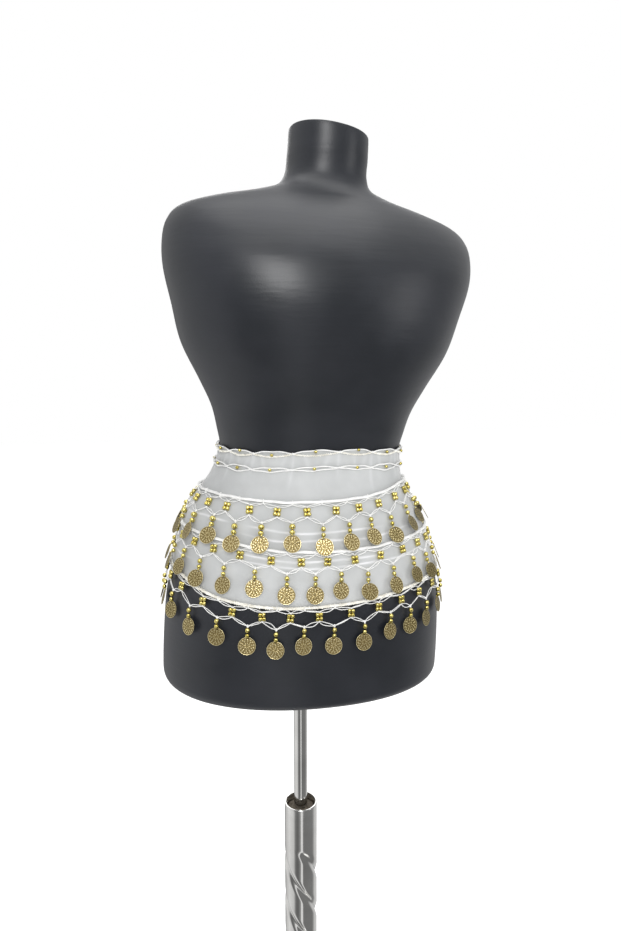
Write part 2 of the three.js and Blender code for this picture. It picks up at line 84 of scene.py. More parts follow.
# %% Frames of the stand and the form
MM = 0.001
FORM_BOTTOM = 710
FORM_LEAN = math.radians(2.6)
UPRIGHT = Matrix.Scale(MM, 4)
LEANING = UPRIGHT @ Matrix.Translation((0, 0, FORM_BOTTOM)) @ Matrix.Rotation(FORM_LEAN, 4, "Y")

# %% [markdown]
# ## Helpers for making pieces
# Most pieces here are a surface bent round something: the form, the chiffon, a cord, the column.
# `bent_grid` makes a flat grid with Blender's own operator, which gives it clean quads, and then
# moves each corner to its place. A closed shape has its seam welded and its poles merged, so that
# it holds water.

# %% Bend a grid, and hand over a finished piece
def bent_grid(columns, rows, place, size=(1, 1), closed=False):
    """A grid bent so that place(u, v) is the point at shares u across and v up; size sets its UVs."""
    mesh = bmesh.new()
    uv_map = mesh.loops.layers.uv.new("UVMap")
    bmesh.ops.create_grid(mesh, x_segments=columns, y_segments=rows, size=0.5)
    for face in mesh.faces:
        for loop in face.loops:
            flat = loop.vert.co
            loop[uv_map].uv = ((flat.x + 0.5) * size[0], (flat.y + 0.5) * size[1])
    for vertex in mesh.verts:
        vertex.co = place(vertex.co.x + 0.5, vertex.co.y + 0.5)
    if closed:
        bmesh.ops.remove_doubles(mesh, verts=mesh.verts, dist=1e-4)
        bmesh.ops.recalc_face_normals(mesh, faces=mesh.faces)
    return mesh


def mark_sharp(mesh, limit=math.radians(40)):
    """Edges that turn by more than the limit are shaded as corners."""
    for edge in mesh.edges:
        edge.smooth = len(edge.link_faces) != 2 or edge.calc_face_angle(0) < limit


def finish_piece(mesh, name, place, finish):
    """Carries a finished bmesh to its place, gives it its finish and lets it ride on the one body."""
    mesh.transform(place)
    data = bpy.data.meshes.new(name)
    mesh.to_mesh(data)
    mesh.free()
    data.polygons.foreach_set("use_smooth", [True] * len(data.polygons))
    data.materials.append(finish)
    piece = bpy.data.objects.new(name, data)
    bpy.context.collection.objects.link(piece)
    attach(piece, "root")
    print(f"{name}: {len(data.polygons)} faces")
    return piece


# %% [markdown]
# ## Helpers for finishes
# A finish is a Principled shader whose colour, roughness and bump are driven by a few texture
# nodes. `add_node` makes a node and sets or links its sockets by name, so that each finish below
# reads as a short recipe. Values that are the same all over stay on the shader itself.

# %% Start a finish and add nodes to it
def start_finish(name, **sockets):
    """A new material and its Principled shader, with plain values on the shader's sockets."""
    finish = bpy.data.materials.new(name)
    finish.use_nodes = True
    shader = finish.node_tree.nodes["Principled BSDF"]
    for socket, value in sockets.items():
        shader.inputs[socket.replace("_", " ")].default_value = value
    return finish, shader


def add_node(finish, kind, settings=None, **sockets):
    """A node whose sockets take values or links to other nodes' outputs."""
    made = finish.node_tree.nodes.new(kind)
    for name, value in (settings or {}).items():
        setattr(made, name, value)
    for name, value in sockets.items():
        key = int(name[1:]) if name[0] == "_" else name.replace("_", " ")
        if isinstance(value, bpy.types.NodeSocket):
            finish.node_tree.links.new(value, made.inputs[key])
        else:
            made.inputs[key].default_value = value
    return made


def add_ramp(finish, value, stops):
    """A colour ramp over (position, colour) stops."""
    ramp = add_node(finish, "ShaderNodeValToRGB", Fac=value)
    elements = ramp.color_ramp.elements
    while len(elements) < len(stops):
        elements.new(1)
    for element, (position, colour) in zip(elements, stops):
        element.position = position
        element.color = (*colour, 1)
    return ramp.outputs["Color"]


def add_range(finish, value, low, high, new_low, new_high):
    """Takes a value from one range to another, and holds it inside."""
    ranged = add_node(finish, "ShaderNodeMapRange", Value=value)
    for socket, number in zip(("From Min", "From Max", "To Min", "To Max"), (low, high, new_low, new_high)):
        ranged.inputs[socket].default_value = number
    return ranged.outputs["Result"]


def link(finish, output, shader, socket):
    finish.node_tree.links.new(output, shader.inputs[socket])


def object_noise(finish, scale, detail=3.0, roughness=0.5):
    """Noise that is fixed to the piece: scale is in repeats per metre."""
    place = add_node(finish, "ShaderNodeTexCoord")
    made = add_node(
        finish, "ShaderNodeTexNoise", Vector=place.outputs["Object"],
        Scale=scale, Detail=detail, Roughness=roughness,
    )
    return made.outputs["Fac"]


def add_bump(finish, shader, heights):
    """Bump from (height, strength, depth in metres) rows, laid one over the other."""
    normal = None
    for height, strength, depth in heights:
        bump = add_node(finish, "ShaderNodeBump", Strength=strength, Distance=depth, Height=height)
        if normal:
            finish.node_tree.links.new(normal, bump.inputs["Normal"])
        normal = bump.outputs["Normal"]
    link(finish, normal, shader, "Normal")


# %% [markdown]
# ## Finish: leatherette
# The form is covered in thin dark grey leatherette, stretched smooth over foam. Real leatherette
# has a pebbled grain well under a millimetre across, and shallow pulls where it is stretched. The
# grain is a cell texture and the pulls a broad noise, both used as bump. The colour hardly varies:
# what shows the shape is the gloss, so the roughness varies a little too.

# %% Leatherette
def leatherette_finish():
    finish, shader = start_finish("leatherette", Specular_IOR_Level=0.5)
    place = add_node(finish, "ShaderNodeTexCoord").outputs["Object"]
    grain = add_node(finish, "ShaderNodeTexVoronoi", {"feature": "F1"}, Vector=place, Scale=1100)
    pulls = object_noise(finish, 14, 2)
    slanted = add_node(
        finish, "ShaderNodeMapping", Vector=place, Rotation=(0.5, 0.9, 0.3), Scale=(18, 18, 130)
    ).outputs["Vector"]
    creases = add_node(finish, "ShaderNodeTexNoise", Vector=slanted, Scale=1, Detail=2).outputs["Fac"]
    tone = add_ramp(finish, pulls, [(0.3, (0.010, 0.012, 0.016)), (0.7, (0.017, 0.019, 0.025))])
    link(finish, tone, shader, "Base Color")
    link(finish, add_range(finish, pulls, 0.3, 0.7, 0.35, 0.43), shader, "Roughness")
    bumps = [(pulls, 0.25, 0.004), (creases, 0.16, 0.0016), (grain.outputs["Distance"], 0.12, 0.0003)]
    add_bump(finish, shader, bumps)
    return finish


LEATHERETTE = leatherette_finish()

# %% [markdown]
# ## Finish: chiffon
# Chiffon is a sheer plain weave of twisted yarn. Over a dark form it looks a pale bluish grey, and
# it turns white where it is creased double, lapped or seen edge on. The grey is the base colour, an
# attribute of the cloth mixes in the white where it lies double, and it also carries a painted
# highlight on the crests of the raised pulls; sheen gives the bright edge. The weave is two crossed
# wave textures on the cloth's own UV map, which is laid out in metres.

# %% Chiffon
YARN_PITCH = 0.00045
WAVE_LENGTH = 0.314  # of a wave texture at scale 1


def chiffon_finish():
    finish, shader = start_finish("chiffon", Roughness=0.75, Specular_IOR_Level=0.2)
    shader.inputs["Sheen Weight"].default_value = 0.55
    shader.inputs["Sheen Roughness"].default_value = 0.35
    shader.inputs["Sheen Tint"].default_value = (1, 1, 1, 1)
    cloth = add_node(finish, "ShaderNodeUVMap", {"uv_map": "UVMap"}).outputs["UV"]
    yarns = []
    for way in "XY":
        bands = {"wave_type": "BANDS", "bands_direction": way}
        yarn = add_node(finish, "ShaderNodeTexWave", bands, Vector=cloth, Scale=WAVE_LENGTH / YARN_PITCH)
        yarns.append(yarn.outputs["Fac"])
    weave = add_node(finish, "ShaderNodeMath", {"operation": "MULTIPLY"}, _0=yarns[0], _1=yarns[1])
    cloudy = object_noise(finish, 38, 3)
    sheer = add_ramp(finish, cloudy, [(0.3, (0.475, 0.485, 0.485)), (0.7, (0.540, 0.550, 0.550))])
    # The attribute whitens doubled cloth and also carries a painted highlight on the crests of raised pulls.
    pressed_and_highlight = add_node(finish, "ShaderNodeAttribute", {"attribute_name": "pressed_and_highlight"}).outputs["Fac"]
    white = add_node(finish, "ShaderNodeMix", {"data_type": "RGBA"})
    finish.node_tree.links.new(pressed_and_highlight, white.inputs["Factor"])
    finish.node_tree.links.new(sheer, white.inputs["A"])
    white.inputs["B"].default_value = (0.90, 0.90, 0.92, 1)
    link(finish, white.outputs["Result"], shader, "Base Color")
    add_bump(finish, shader, [(cloudy, 0.10, 0.003), (weave.outputs["Value"], 0.15, 0.0001)])
    return finish


CHIFFON = chiffon_finish()

# %% [markdown]
# ## Finish: cotton thread
# The nets and the two upper cords are of glazed white cotton. It is almost pure white, with fuzz
# that catches light at its edge, which is what sheen is for. The crocheted strands are of a softer,
# slightly creamier yarn, so the same recipe is used with another tint and more fuzz.

# %% Cotton
def cotton_finish(name, bright, shade, sheen):
    finish, shader = start_finish(name, Roughness=0.7, Specular_IOR_Level=0.3)
    shader.inputs["Sheen Weight"].default_value = sheen
    shader.inputs["Sheen Roughness"].default_value = 0.4
    fuzz = object_noise(finish, 1500, 2)
    patches = object_noise(finish, 160, 2)
    link(finish, add_ramp(finish, patches, [(0.35, shade), (0.6, bright)]), shader, "Base Color")
    add_bump(finish, shader, [(fuzz, 0.35, 0.0002)])
    return finish


COTTON = cotton_finish("white cotton", (0.90, 0.90, 0.885), (0.80, 0.80, 0.79), 0.25)
CROCHET = cotton_finish("crochet cotton", (0.90, 0.885, 0.82), (0.74, 0.71, 0.62), 0.4)

# %% [markdown]
# ## Finish: gold beads and coins
# The beads are bright gold plate. The coins are antiqued brass: a dark wash is left in the low
# places and rubbed off the high ones, and no two have the same tone. Each coin therefore carries a
# `tone` value, and a `relief` value that says how high each point of its face stands. The wash is
# dark where the relief is low.

# %% Gold plate and antiqued brass
def gold_finish():
    finish, shader = start_finish("gold plate", Metallic=1.0)
    wear = object_noise(finish, 420, 2)
    gold = add_ramp(finish, wear, [(0.35, (0.54, 0.44, 0.095)), (0.65, (0.92, 0.80, 0.31))])
    link(finish, gold, shader, "Base Color")
    link(finish, add_range(finish, wear, 0.3, 0.7, 0.14, 0.27), shader, "Roughness")
    add_bump(finish, shader, [(wear, 0.15, 0.0003)])
    return finish


# Colours of the darkest and the lightest coin, from the wash in the low places to the rubbed heights.
DARK_COIN = [(0, (0.045, 0.034, 0.010)), (0.45, (0.17, 0.135, 0.048)), (1, (0.60, 0.51, 0.24))]
LIGHT_COIN = [(0, (0.22, 0.155, 0.055)), (0.4, (0.55, 0.43, 0.19)), (1, (0.96, 0.86, 0.55))]


def coin_finish():
    finish, shader = start_finish("antiqued brass", Metallic=0.85)
    tone = add_node(finish, "ShaderNodeAttribute", {"attribute_name": "tone"}).outputs["Fac"]
    relief = add_node(finish, "ShaderNodeAttribute", {"attribute_name": "relief"}).outputs["Fac"]
    speckle = object_noise(finish, 1300, 2, 0.6)
    rubbed = add_node(finish, "ShaderNodeMath", {"operation": "ADD"}, _0=relief, _1=speckle)
    height = add_range(finish, rubbed.outputs["Value"], 0.4, 1.15, 0, 1)
    dark = add_ramp(finish, height, DARK_COIN)
    light = add_ramp(finish, height, LIGHT_COIN)
    brass = add_node(finish, "ShaderNodeMix", {"data_type": "RGBA"})
    for socket, output in (("Factor", tone), ("A", dark), ("B", light)):
        finish.node_tree.links.new(output, brass.inputs[socket])
    link(finish, brass.outputs["Result"], shader, "Base Color")
    link(finish, add_range(finish, height, 0, 1, 0.5, 0.27), shader, "Roughness")
    add_bump(finish, shader, [(speckle, 0.3, 0.0004)])
    return finish


GOLD = gold_finish()
COIN_BRASS = coin_finish()

# %% [markdown]
# ## Finish: chrome and plug
# Chrome plating on thin tube is bright, with faint draw lines along the tube and a few smudges.
# The noise is stretched a long way up, so that it reads as lines, and the smudges only change the
# roughness. The plug in the column's mouth is dull brown moulded plastic.

# %% Chrome and moulded plastic
def chrome_finish():
    finish, shader = start_finish("chrome plate", Metallic=1.0)
    place = add_node(finish, "ShaderNodeTexCoord").outputs["Object"]
    stretched = add_node(finish, "ShaderNodeMapping", Vector=place, Scale=(1, 1, 0.01))
    lines = add_node(finish, "ShaderNodeTexNoise", Vector=stretched.outputs["Vector"], Scale=900, Detail=2)
    smudges = object_noise(finish, 30, 3)
    plate = add_ramp(finish, smudges, [(0.3, (0.62, 0.615, 0.60)), (0.7, (0.74, 0.735, 0.72))])
    link(finish, plate, shader, "Base Color")
    link(finish, add_range(finish, smudges, 0.35, 0.7, 0.07, 0.17), shader, "Roughness")
    add_bump(finish, shader, [(lines.outputs["Fac"], 0.08, 0.0002)])
    return finish


def plastic_finish():
    finish, shader = start_finish("brown plastic", Specular_IOR_Level=0.3)
    mottle = object_noise(finish, 240, 4)
    brown = add_ramp(finish, mottle, [(0.35, (0.15, 0.125, 0.095)), (0.65, (0.27, 0.235, 0.19))])
    link(finish, brown, shader, "Base Color")
    link(finish, add_range(finish, mottle, 0.3, 0.7, 0.55, 0.75), shader, "Roughness")
    add_bump(finish, shader, [(mottle, 0.3, 0.0005)])
    return finish


CHROME = chrome_finish()
PLASTIC = plastic_finish()

# %% [markdown]
# ## The form's skin
# Everything that is worn lies on the form, so the form's skin is a function: an angle round it and
# a height above its underside give a point. A table holds its half width, half depth and centre at
# a few heights, a smooth curve runs through the rows, and each section is a slightly squared
# ellipse.

# %% Table of the form's sections, in millimetres
FORM_SECTIONS = [  # height, half width, half depth, centre x, centre y
    (0, 176, 120, 3, 2),
    (37, 176.5, 121, 3, 3),
    (91, 174.5, 120, 2.5, 3),
    (118, 171.5, 118, 2, 2),
    (144, 165.5, 115, 1, 1),
    (170, 158, 110, -0.5, 0),
    (197, 149, 104, -2, 0),
    (217, 140.5, 98, -3.5, 0),
    (235, 129, 91.5, -3.5, 0),
    (250, 120, 87, -2.5, 0),
    (262, 114.8, 84.2, -1.5, 0),
    (275, 111.7, 82.6, -0.5, 0),
    (290, 111, 82, 0, 0),
    (306, 114.5, 83.5, 0, -1),
    (335, 122.5, 88, 0, -3),
    (364, 137, 96, 0, -5),
    (407, 160, 109, 0, -8),
    (450, 172.5, 116, 1, -8),
    (490, 184, 115, 3, -4),
    (520, 186, 106, 4, 0),
    (541, 181, 94, 4, 3),
    (556, 166, 82, 3, 5),
    (568, 132, 70, 2, 6),
    (577, 95, 60, 2, 6),
    (588, 61, 51, 3, 5),
    (603, 49, 46.5, 5, 4),
    (628, 47, 46, 6, 2),
    (647, 46.5, 45.5, 6, 1),
    (652, 46.2, 45.2, 6, 1),
]
SQUARENESS = 2.15


def smoothstep(x, low, high):
    share = min(max((x - low) / (high - low), 0), 1)
    return share * share * (3 - 2 * share)


def table_row(rows, x):
    """Smooth values of a table's columns at x; the first column is the key and is left out."""
    upper = next((i for i in range(1, len(rows) - 1) if rows[i][0] >= x), len(rows) - 1)
    before, start, end, after = (rows[min(max(i, 0), len(rows) - 1)] for i in range(upper - 2, upper + 2))
    span = end[0] - start[0]
    share = min(max((x - start[0]) / span, 0), 1)
    square, cube = share**2, share**3
    lead_in = span / (end[0] - before[0])
    lead_out = span / (after[0] - start[0])
    return [
        (2 * cube - 3 * square + 1) * start[c]
        + (cube - 2 * square + share) * (end[c] - before[c]) * lead_in
        + (3 * square - 2 * cube) * end[c]
        + (cube - square) * (after[c] - start[c]) * lead_out
        for c in range(1, len(start))
    ]


# %% Points and directions on the skin
def skin_point(angle, height):
    """Angle 0 is the front, towards -Y, and larger angles go towards +X."""
    half_width, half_depth, centre_x, centre_y = table_row(FORM_SECTIONS, height)
    sine, cosine = math.sin(angle), math.cos(angle)
    power = 2 / SQUARENESS
    return Vector((
        centre_x + half_width * math.copysign(abs(sine) ** power, sine),
        centre_y - half_depth * math.copysign(abs(cosine) ** power, cosine),
        height,
    ))


def skin_frame(angle, height):
    """The skin's point, and the directions along it, down it and out of it."""
    along = (skin_point(angle + 0.02, height) - skin_point(angle - 0.02, height)).normalized()
    down = (skin_point(angle, height - 1.5) - skin_point(angle, height + 1.5)).normalized()
    return skin_point(angle, height), along, down, down.cross(along).normalized()


print("half width at the hips:", round(skin_point(math.pi / 2, 37).x, 1), "mm")

# %% [markdown]
# ## The dress form
# The form could be sculpted, but then the belt would have nothing exact to lie on. A grid wrapped
# round the skin function is smooth and true. Its rows run from the middle of the flat underside,
# round the lower edge, up the body to the neck, over a turned edge and in to the middle of the
# neck's cap. The first and last rows shrink to a point and are merged there.

# %% Dress form
FORM_COLUMNS = 120
FORM_ROW_STEP = 6
SHOULDER_START = 540
SHOULDER_ROW_STEP = 3.5
FORM_EDGE_RADIUS = 14
NECK_TOP = 652
NECK_EDGE_RADIUS = 1.3
NECK_CUT_START = 603
NECK_CUT_SLOPE = 0.085  # the neck's cap falls towards +X


def form_rows():
    """Rows of the form as (height of the section, rise from it, inset, share of its radius)."""
    low, high = FORM_EDGE_RADIUS, NECK_EDGE_RADIUS
    neck_end = NECK_TOP - high
    rows = [(low, -low, low, share) for share in (0, 0.25, 0.5, 0.75, 0.93)]
    for i in range(9):
        turn = i / 8 * math.pi / 2
        rows.append((low, -low * math.cos(turn), low * (1 - math.sin(turn)), 1))
    height = low + FORM_ROW_STEP
    while height < neck_end - 3:
        rows.append((height, 0, 0, 1))
        height += SHOULDER_ROW_STEP if height > SHOULDER_START else FORM_ROW_STEP
    for i in range(6):
        turn = i / 5 * math.pi / 2
        rows.append((neck_end, high * math.sin(turn), high * (1 - math.cos(turn)), 1))
    rows += [(neck_end, high, high, share) for share in (0.9, 0.6, 0.3, 0)]
    return rows


def dress_form():
    rows = form_rows()

    def place(u, v):
        height, rise, inset, share = rows[round(v * (len(rows) - 1))]
        origin, _, _, out = skin_frame((u - 0.5) * 2 * math.pi, height)
        flat_out = Vector((out.x, out.y, 0)).normalized()
        point = origin - flat_out * inset
        _, _, centre_x, centre_y = table_row(FORM_SECTIONS, height)
        centre = Vector((centre_x, centre_y, height))
        point = centre + (point - centre) * share
        point.z += rise - NECK_CUT_SLOPE * smoothstep(height, NECK_CUT_START, NECK_TOP) * (point.x - centre_x)
        return point

    return bent_grid(FORM_COLUMNS, len(rows) - 1, place, closed=True)


form = finish_piece(dress_form(), "dress_form", LEANING, LEATHERETTE)
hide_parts("form_torso")

# %% [markdown]
# ## The stand
# The base is a shallow turned dome, the kind of shape that `spin` is for: half of its outline goes
# once round the axis. The flange under the form and the plug in the column's mouth are turned too.

# %% Turned pieces of the stand
def turned(outline, steps=96):
    """A solid of revolution from (radius, height) points that start and end on the axis."""
    mesh = bmesh.new()
    corners = [mesh.verts.new((radius, 0, height)) for radius, height in outline]
    edges = [mesh.edges.new(pair) for pair in zip(corners, corners[1:])]
    bmesh.ops.spin(
        mesh, geom=corners + edges, cent=(0, 0, 0), axis=(0, 0, 1), dvec=(0, 0, 0),
        angle=2 * math.pi, steps=steps, use_merge=True, use_duplicate=False,
    )
    bmesh.ops.remove_doubles(mesh, verts=mesh.verts, dist=1e-4)
    bmesh.ops.recalc_face_normals(mesh, faces=mesh.faces)
    mark_sharp(mesh)
    return mesh


def rounded(corner_x, corner_z, radius, start, steps=5):
    """A quarter circle of an outline about a centre, from a start angle in degrees, turning left."""
    return [
        (
            corner_x + radius * math.cos(math.radians(start + 90 * i / steps)),
            corner_z + radius * math.sin(math.radians(start + 90 * i / steps)),
        )
        for i in range(steps + 1)
    ]


BASE_RADIUS = 175
BASE_CROWN_RADIUS = 46
BASE_CROWN_HEIGHT = 15
base_outline = [(0, 0), (120, 0)] + rounded(BASE_RADIUS - 1.5, 1.5, 1.5, -90)
base_outline += rounded(BASE_RADIUS - 4, 4, 4, 0) + [(150, 9.4), (120, 11.2), (90, 12.8), (60, 14.4)]
base_outline += [(radius, BASE_CROWN_HEIGHT) for radius in (BASE_CROWN_RADIUS, 30, 0)]
base = finish_piece(turned(base_outline), "stand_foot", UPRIGHT, CHROME)
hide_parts("stand_base")

FLANGE_RADIUS = 42
flange_outline = [(0, -8)] + rounded(FLANGE_RADIUS - 2, -6, 2, -90)
flange_outline += rounded(FLANGE_RADIUS - 1, -1.3, 1, 0) + [(0, -0.3)]
flange = finish_piece(turned(flange_outline, 64), "stand_flange", LEANING, CHROME)
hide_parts("form_flange")

# %% [markdown]
# ## The twisted column
# The column is a plain chromed tube whose middle has been rolled with three sharp dents that wind
# round it. Its wall is one bent grid: the radius is pulled in near each dent's line, and the line
# turns with the height. The dents start suddenly below a plain stretch, and the tube's mouth is
# open, with the plug a little way down in it.

# %% Column, plug and pole
COLUMN_RADIUS = 21.5
COLUMN_FOOT = 15.3
COLUMN_TOP = 522
COLUMN_WALL = 2
COLUMN_RECESS = 9
TWIST_TOP = 465
TWIST_BOTTOM = 70
TWIST_LEAD = 176
TWIST_STARTS = 3
DENT_DEPTH = 3.6
DENT_HALF_ANGLE = math.radians(24)
DENT_RUN_IN = 20
DENT_RUN_OUT = 14
COLUMN_STEPS = 260
COLUMN_SIDES = 108


def dent(angle, height):
    """How far the column's wall is dented in."""
    turn = -height / TWIST_LEAD * 2 * math.pi
    pitch = 2 * math.pi / TWIST_STARTS
    off = (angle - turn + pitch / 2) % pitch - pitch / 2
    ends = smoothstep(height, TWIST_BOTTOM, TWIST_BOTTOM + DENT_RUN_IN)
    ends *= 1 - smoothstep(height, TWIST_TOP - DENT_RUN_OUT, TWIST_TOP)
    valley = max(0, 1 - math.sqrt(off**2 + 0.02**2) / DENT_HALF_ANGLE)
    return DENT_DEPTH * ends * valley**1.35


def column_mesh():
    plug_floor = COLUMN_TOP - COLUMN_RECESS - 5
    rows = [(0, COLUMN_FOOT), (COLUMN_RADIUS - 1, COLUMN_FOOT), (COLUMN_RADIUS, COLUMN_FOOT + 1)]
    rise = COLUMN_TOP - COLUMN_FOOT - 1.6
    for i in range(1, COLUMN_STEPS + 1):
        rows.append((COLUMN_RADIUS, COLUMN_FOOT + 1 + rise * i / COLUMN_STEPS))
    inner = COLUMN_RADIUS - COLUMN_WALL
    rows += [(COLUMN_RADIUS - 0.3, COLUMN_TOP - 0.15), (COLUMN_RADIUS - 0.7, COLUMN_TOP)]
    rows += [(inner + 0.4, COLUMN_TOP), (inner, COLUMN_TOP - 0.4), (inner, COLUMN_TOP - 3)]
    rows += [(inner, plug_floor), (0, plug_floor)]

    def place(u, v):
        radius, height = rows[round(v * (len(rows) - 1))]
        angle = u * 2 * math.pi
        if radius == COLUMN_RADIUS:
            radius -= dent(angle, height)
        if inner <= radius < COLUMN_RADIUS - 1 and height > COLUMN_TOP - 1:
            radius += 0.5 * noise.noise(Vector((math.cos(angle) * 4, math.sin(angle) * 4, 0)))
        return Vector((radius * math.cos(angle), radius * math.sin(angle), height))

    mesh = bent_grid(COLUMN_SIDES, len(rows) - 1, place, closed=True)
    mark_sharp(mesh)
    return mesh


column = finish_piece(column_mesh(), "twisted_column", UPRIGHT, CHROME)
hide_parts("stand_column")

PLUG_BOTTOM = COLUMN_TOP - COLUMN_RECESS - 4.7
PLUG_TOP = COLUMN_TOP - COLUMN_RECESS
PLUG_RADIUS = 18.4
plug_outline = [(0, PLUG_BOTTOM), (PLUG_RADIUS, PLUG_BOTTOM), (PLUG_RADIUS, PLUG_TOP - 0.8)]
plug_outline += [(17.8, PLUG_TOP - 0.2), (17, PLUG_TOP), (13, PLUG_TOP), (11, PLUG_TOP + 0.5)]
plug_outline += [(9.8, PLUG_TOP + 1.5), (9.3, PLUG_TOP + 2.8), (9.0, PLUG_TOP + 2.8)]
plug_outline += [(9.0, PLUG_TOP), (0, PLUG_TOP)]
plug = finish_piece(turned(plug_outline, 48), "mouth_plug", UPRIGHT, PLASTIC)
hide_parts("column_plug")

POLE_RADIUS = 8.8
POLE_FOOT = PLUG_TOP + 0.3
POLE_HEAD = FORM_BOTTOM - 9.4
pole_outline = [(0, POLE_FOOT), (POLE_RADIUS, POLE_FOOT), (POLE_RADIUS, POLE_HEAD), (0, POLE_HEAD)]
pole = finish_piece(turned(pole_outline, 64), "chrome_pole", UPRIGHT, CHROME)
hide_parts("stand_pole")

# %% [markdown]
# ## Lines of the belt
# The belt hangs lowest left of the front and rises to the sides. Four lines describe it: its waist
# edge, the two upper fringe cords and the hem cord. A second table gives their heights by the
# angle round the form. The ends lap at the centre back, where the upper end rises over the lower.

# %% Table of the belt's lines, in millimetres
BELT_LINES = [  # angle in degrees, waist, cord 1, cord 2, hem
    (-180, 292, 243, 200, 152),
    (-125, 289, 237, 199, 153),
    (-75, 287.5, 237.5, 196, 147),
    (-45, 287.5, 236, 190.5, 130),
    (-20, 290, 235, 184.5, 124),
    (5, 293.5, 237.5, 184.5, 127),
    (30, 292.5, 243.5, 189.5, 135.5),
    (52, 292, 251, 194, 142),
    (95, 292, 252, 198, 149),
    (140, 292, 247, 200, 152),
    (180, 292, 243, 200, 152),
]
WAIST, CORD_1, CORD_2, HEM = range(4)
LAP_ANGLE = math.radians(14)
LAP_RISE = 1.8
LAP_RAMP = math.radians(11)
TRIM_START = -math.pi + LAP_ANGLE + math.radians(1)
TRIM_END = math.pi + LAP_ANGLE - math.radians(1)


def line_height(line, angle):
    return table_row(BELT_LINES, (math.degrees(angle) + 180) % 360 - 180)[line]


def belt_frame(line, angle, drop=0):
    """The skin's frame at a drop below a line; its point is lifted where the upper end laps."""
    point, along, down, out = skin_frame(angle, line_height(line, angle) - drop)
    point += out * LAP_RISE * smoothstep(angle, math.pi - LAP_RAMP, math.pi)
    return point, along, down, out


def belt_point(line, angle, drop, shift, lift):
    point, along, _, out = belt_frame(line, angle, drop)
    return point + along * shift + out * lift


# %% [markdown]
# ## Places round the hips
# The fringe is strung at even steps along the cloth, not at even angles, because the form is much
# wider than it is deep. This measures the way round once and turns a share of it into an angle.

# %% Angle at a share of the way round
def measure_round(height=190, steps=720):
    points = [skin_point(-math.pi + 2 * math.pi * i / steps, height) for i in range(steps + 1)]
    lengths = [0.0]
    for start, end in zip(points, points[1:]):
        lengths.append(lengths[-1] + (end - start).length)
    return lengths


ROUND_LENGTHS = measure_round()
HIP_ROUND = ROUND_LENGTHS[-1]


def angle_at(share):
    """Angle at a share of the way round, counted from the front towards +X."""
    turns = math.floor(share + 0.5)
    length = (share + 0.5 - turns) * HIP_ROUND
    upper = next(i for i in range(1, len(ROUND_LENGTHS)) if ROUND_LENGTHS[i] >= length)
    part = (length - ROUND_LENGTHS[upper - 1]) / (ROUND_LENGTHS[upper] - ROUND_LENGTHS[upper - 1])
    return -math.pi + ((upper - 1 + part) / (len(ROUND_LENGTHS) - 1) + turns) * 2 * math.pi


print("round the hips under the belt:", round(HIP_ROUND), "mm")

# %% [markdown]
# ## Creases of the chiffon
# Fine chiffon stretched round a form hardly folds, but it isn't flat either. Under each knot of the
# waist edgings it is drawn into a narrow upright tuck, between the edgings it slants in soft
# pulls, and level creases cross it. Each is a soft ridge or trough, and the short tables below give
# its width, depth and length. Tucks and pulls are taken in turn, so that neighbours differ.

# %% Joints of the waist edgings
EDGING_EYES = 15
JOINT_START = math.radians(-21)
JOINT_STEP = (TRIM_END - TRIM_START) / EDGING_EYES
JOINT_PLAY = math.radians(1.6)  # most that a joint lies off its even place


def joint_angle(number):
    return JOINT_START + number * JOINT_STEP + JOINT_PLAY * math.sin(number * 2.2)


def between_joints(angle):
    """Number of the last joint before an angle, and the share of the way from it to the next."""
    number = math.floor((angle - JOINT_START) / JOINT_STEP) - 1
    while joint_angle(number + 1) <= angle:
        number += 1
    return number, (angle - joint_angle(number)) / (joint_angle(number + 1) - joint_angle(number))


def eye_drop(angle, half_height, sizes=None):
    """Half the height of an eye at an angle: nothing at its joints, full in its middle."""
    number, share = between_joints(angle)
    return half_height * (sizes or {}).get(number, 1) * math.sin(math.pi * share) ** 0.8


# %% Tables of creases
CLOTH_LIFT = 1.7

# Upright tucks below the waist: shift in mm from a joint, width, height of the ridge, where it ends.
TUCKS = [
    (0.6, 2.2, 0.42, 47),
    (-1.2, 1.9, 0.30, 36),
    (0.2, 2.5, 0.46, 52),
    (1.6, 2.0, 0.34, 41),
    (-0.8, 2.3, 0.38, 30),
]
# Slanting pulls between the edgings: shift, slope in mm per mm of drop, half width, depth.
PULLS = [(7, 0.55, 2.6, -0.30), (-9, -0.7, 3.2, 0.28), (14, 0.9, 2.8, 0.24), (-15, -0.35, 3.6, -0.22)]
# Level creases: line above them, drop, angle of the middle and half length in degrees, depth.
LEVEL_CREASES = [
    (CORD_2, -20.0, -6, 34, 0.34),
    (CORD_2, -11.0, 2, 46, 0.42),
    (CORD_2, 10.0, -12, 40, 0.40),
    (CORD_2, 17.0, 6, 52, 0.36),
    (CORD_1, 24.0, -70, 26, 0.30),
    (CORD_2, 14.0, 84, 30, 0.34),
    (CORD_2, 30.0, -96, 34, 0.32),
    (CORD_1, 18.0, 128, 30, 0.36),
    (CORD_2, 22.0, 150, 28, 0.30),
    (CORD_1, 30.0, -150, 24, 0.34),
    (CORD_2, 12.0, -158, 22, 0.36),
]
LEVEL_CREASE_HALF_WIDTH = 1.0

# How white the cloth is at the top of a tuck and a level crease, in the lap and at its ends, and how bright
# the painted highlight is on the crest of a raised pull.
TUCK_WHITE, PULL_HIGHLIGHT, CREASE_WHITE = 0.17, 0.12, 0.85
LAP_WHITE, END_WHITE = 0.3, 0.4


def ridge(distance, half_width):
    """A soft bump of height 1 that has faded out at about twice its half width."""
    return math.exp(-((distance / half_width) ** 2))


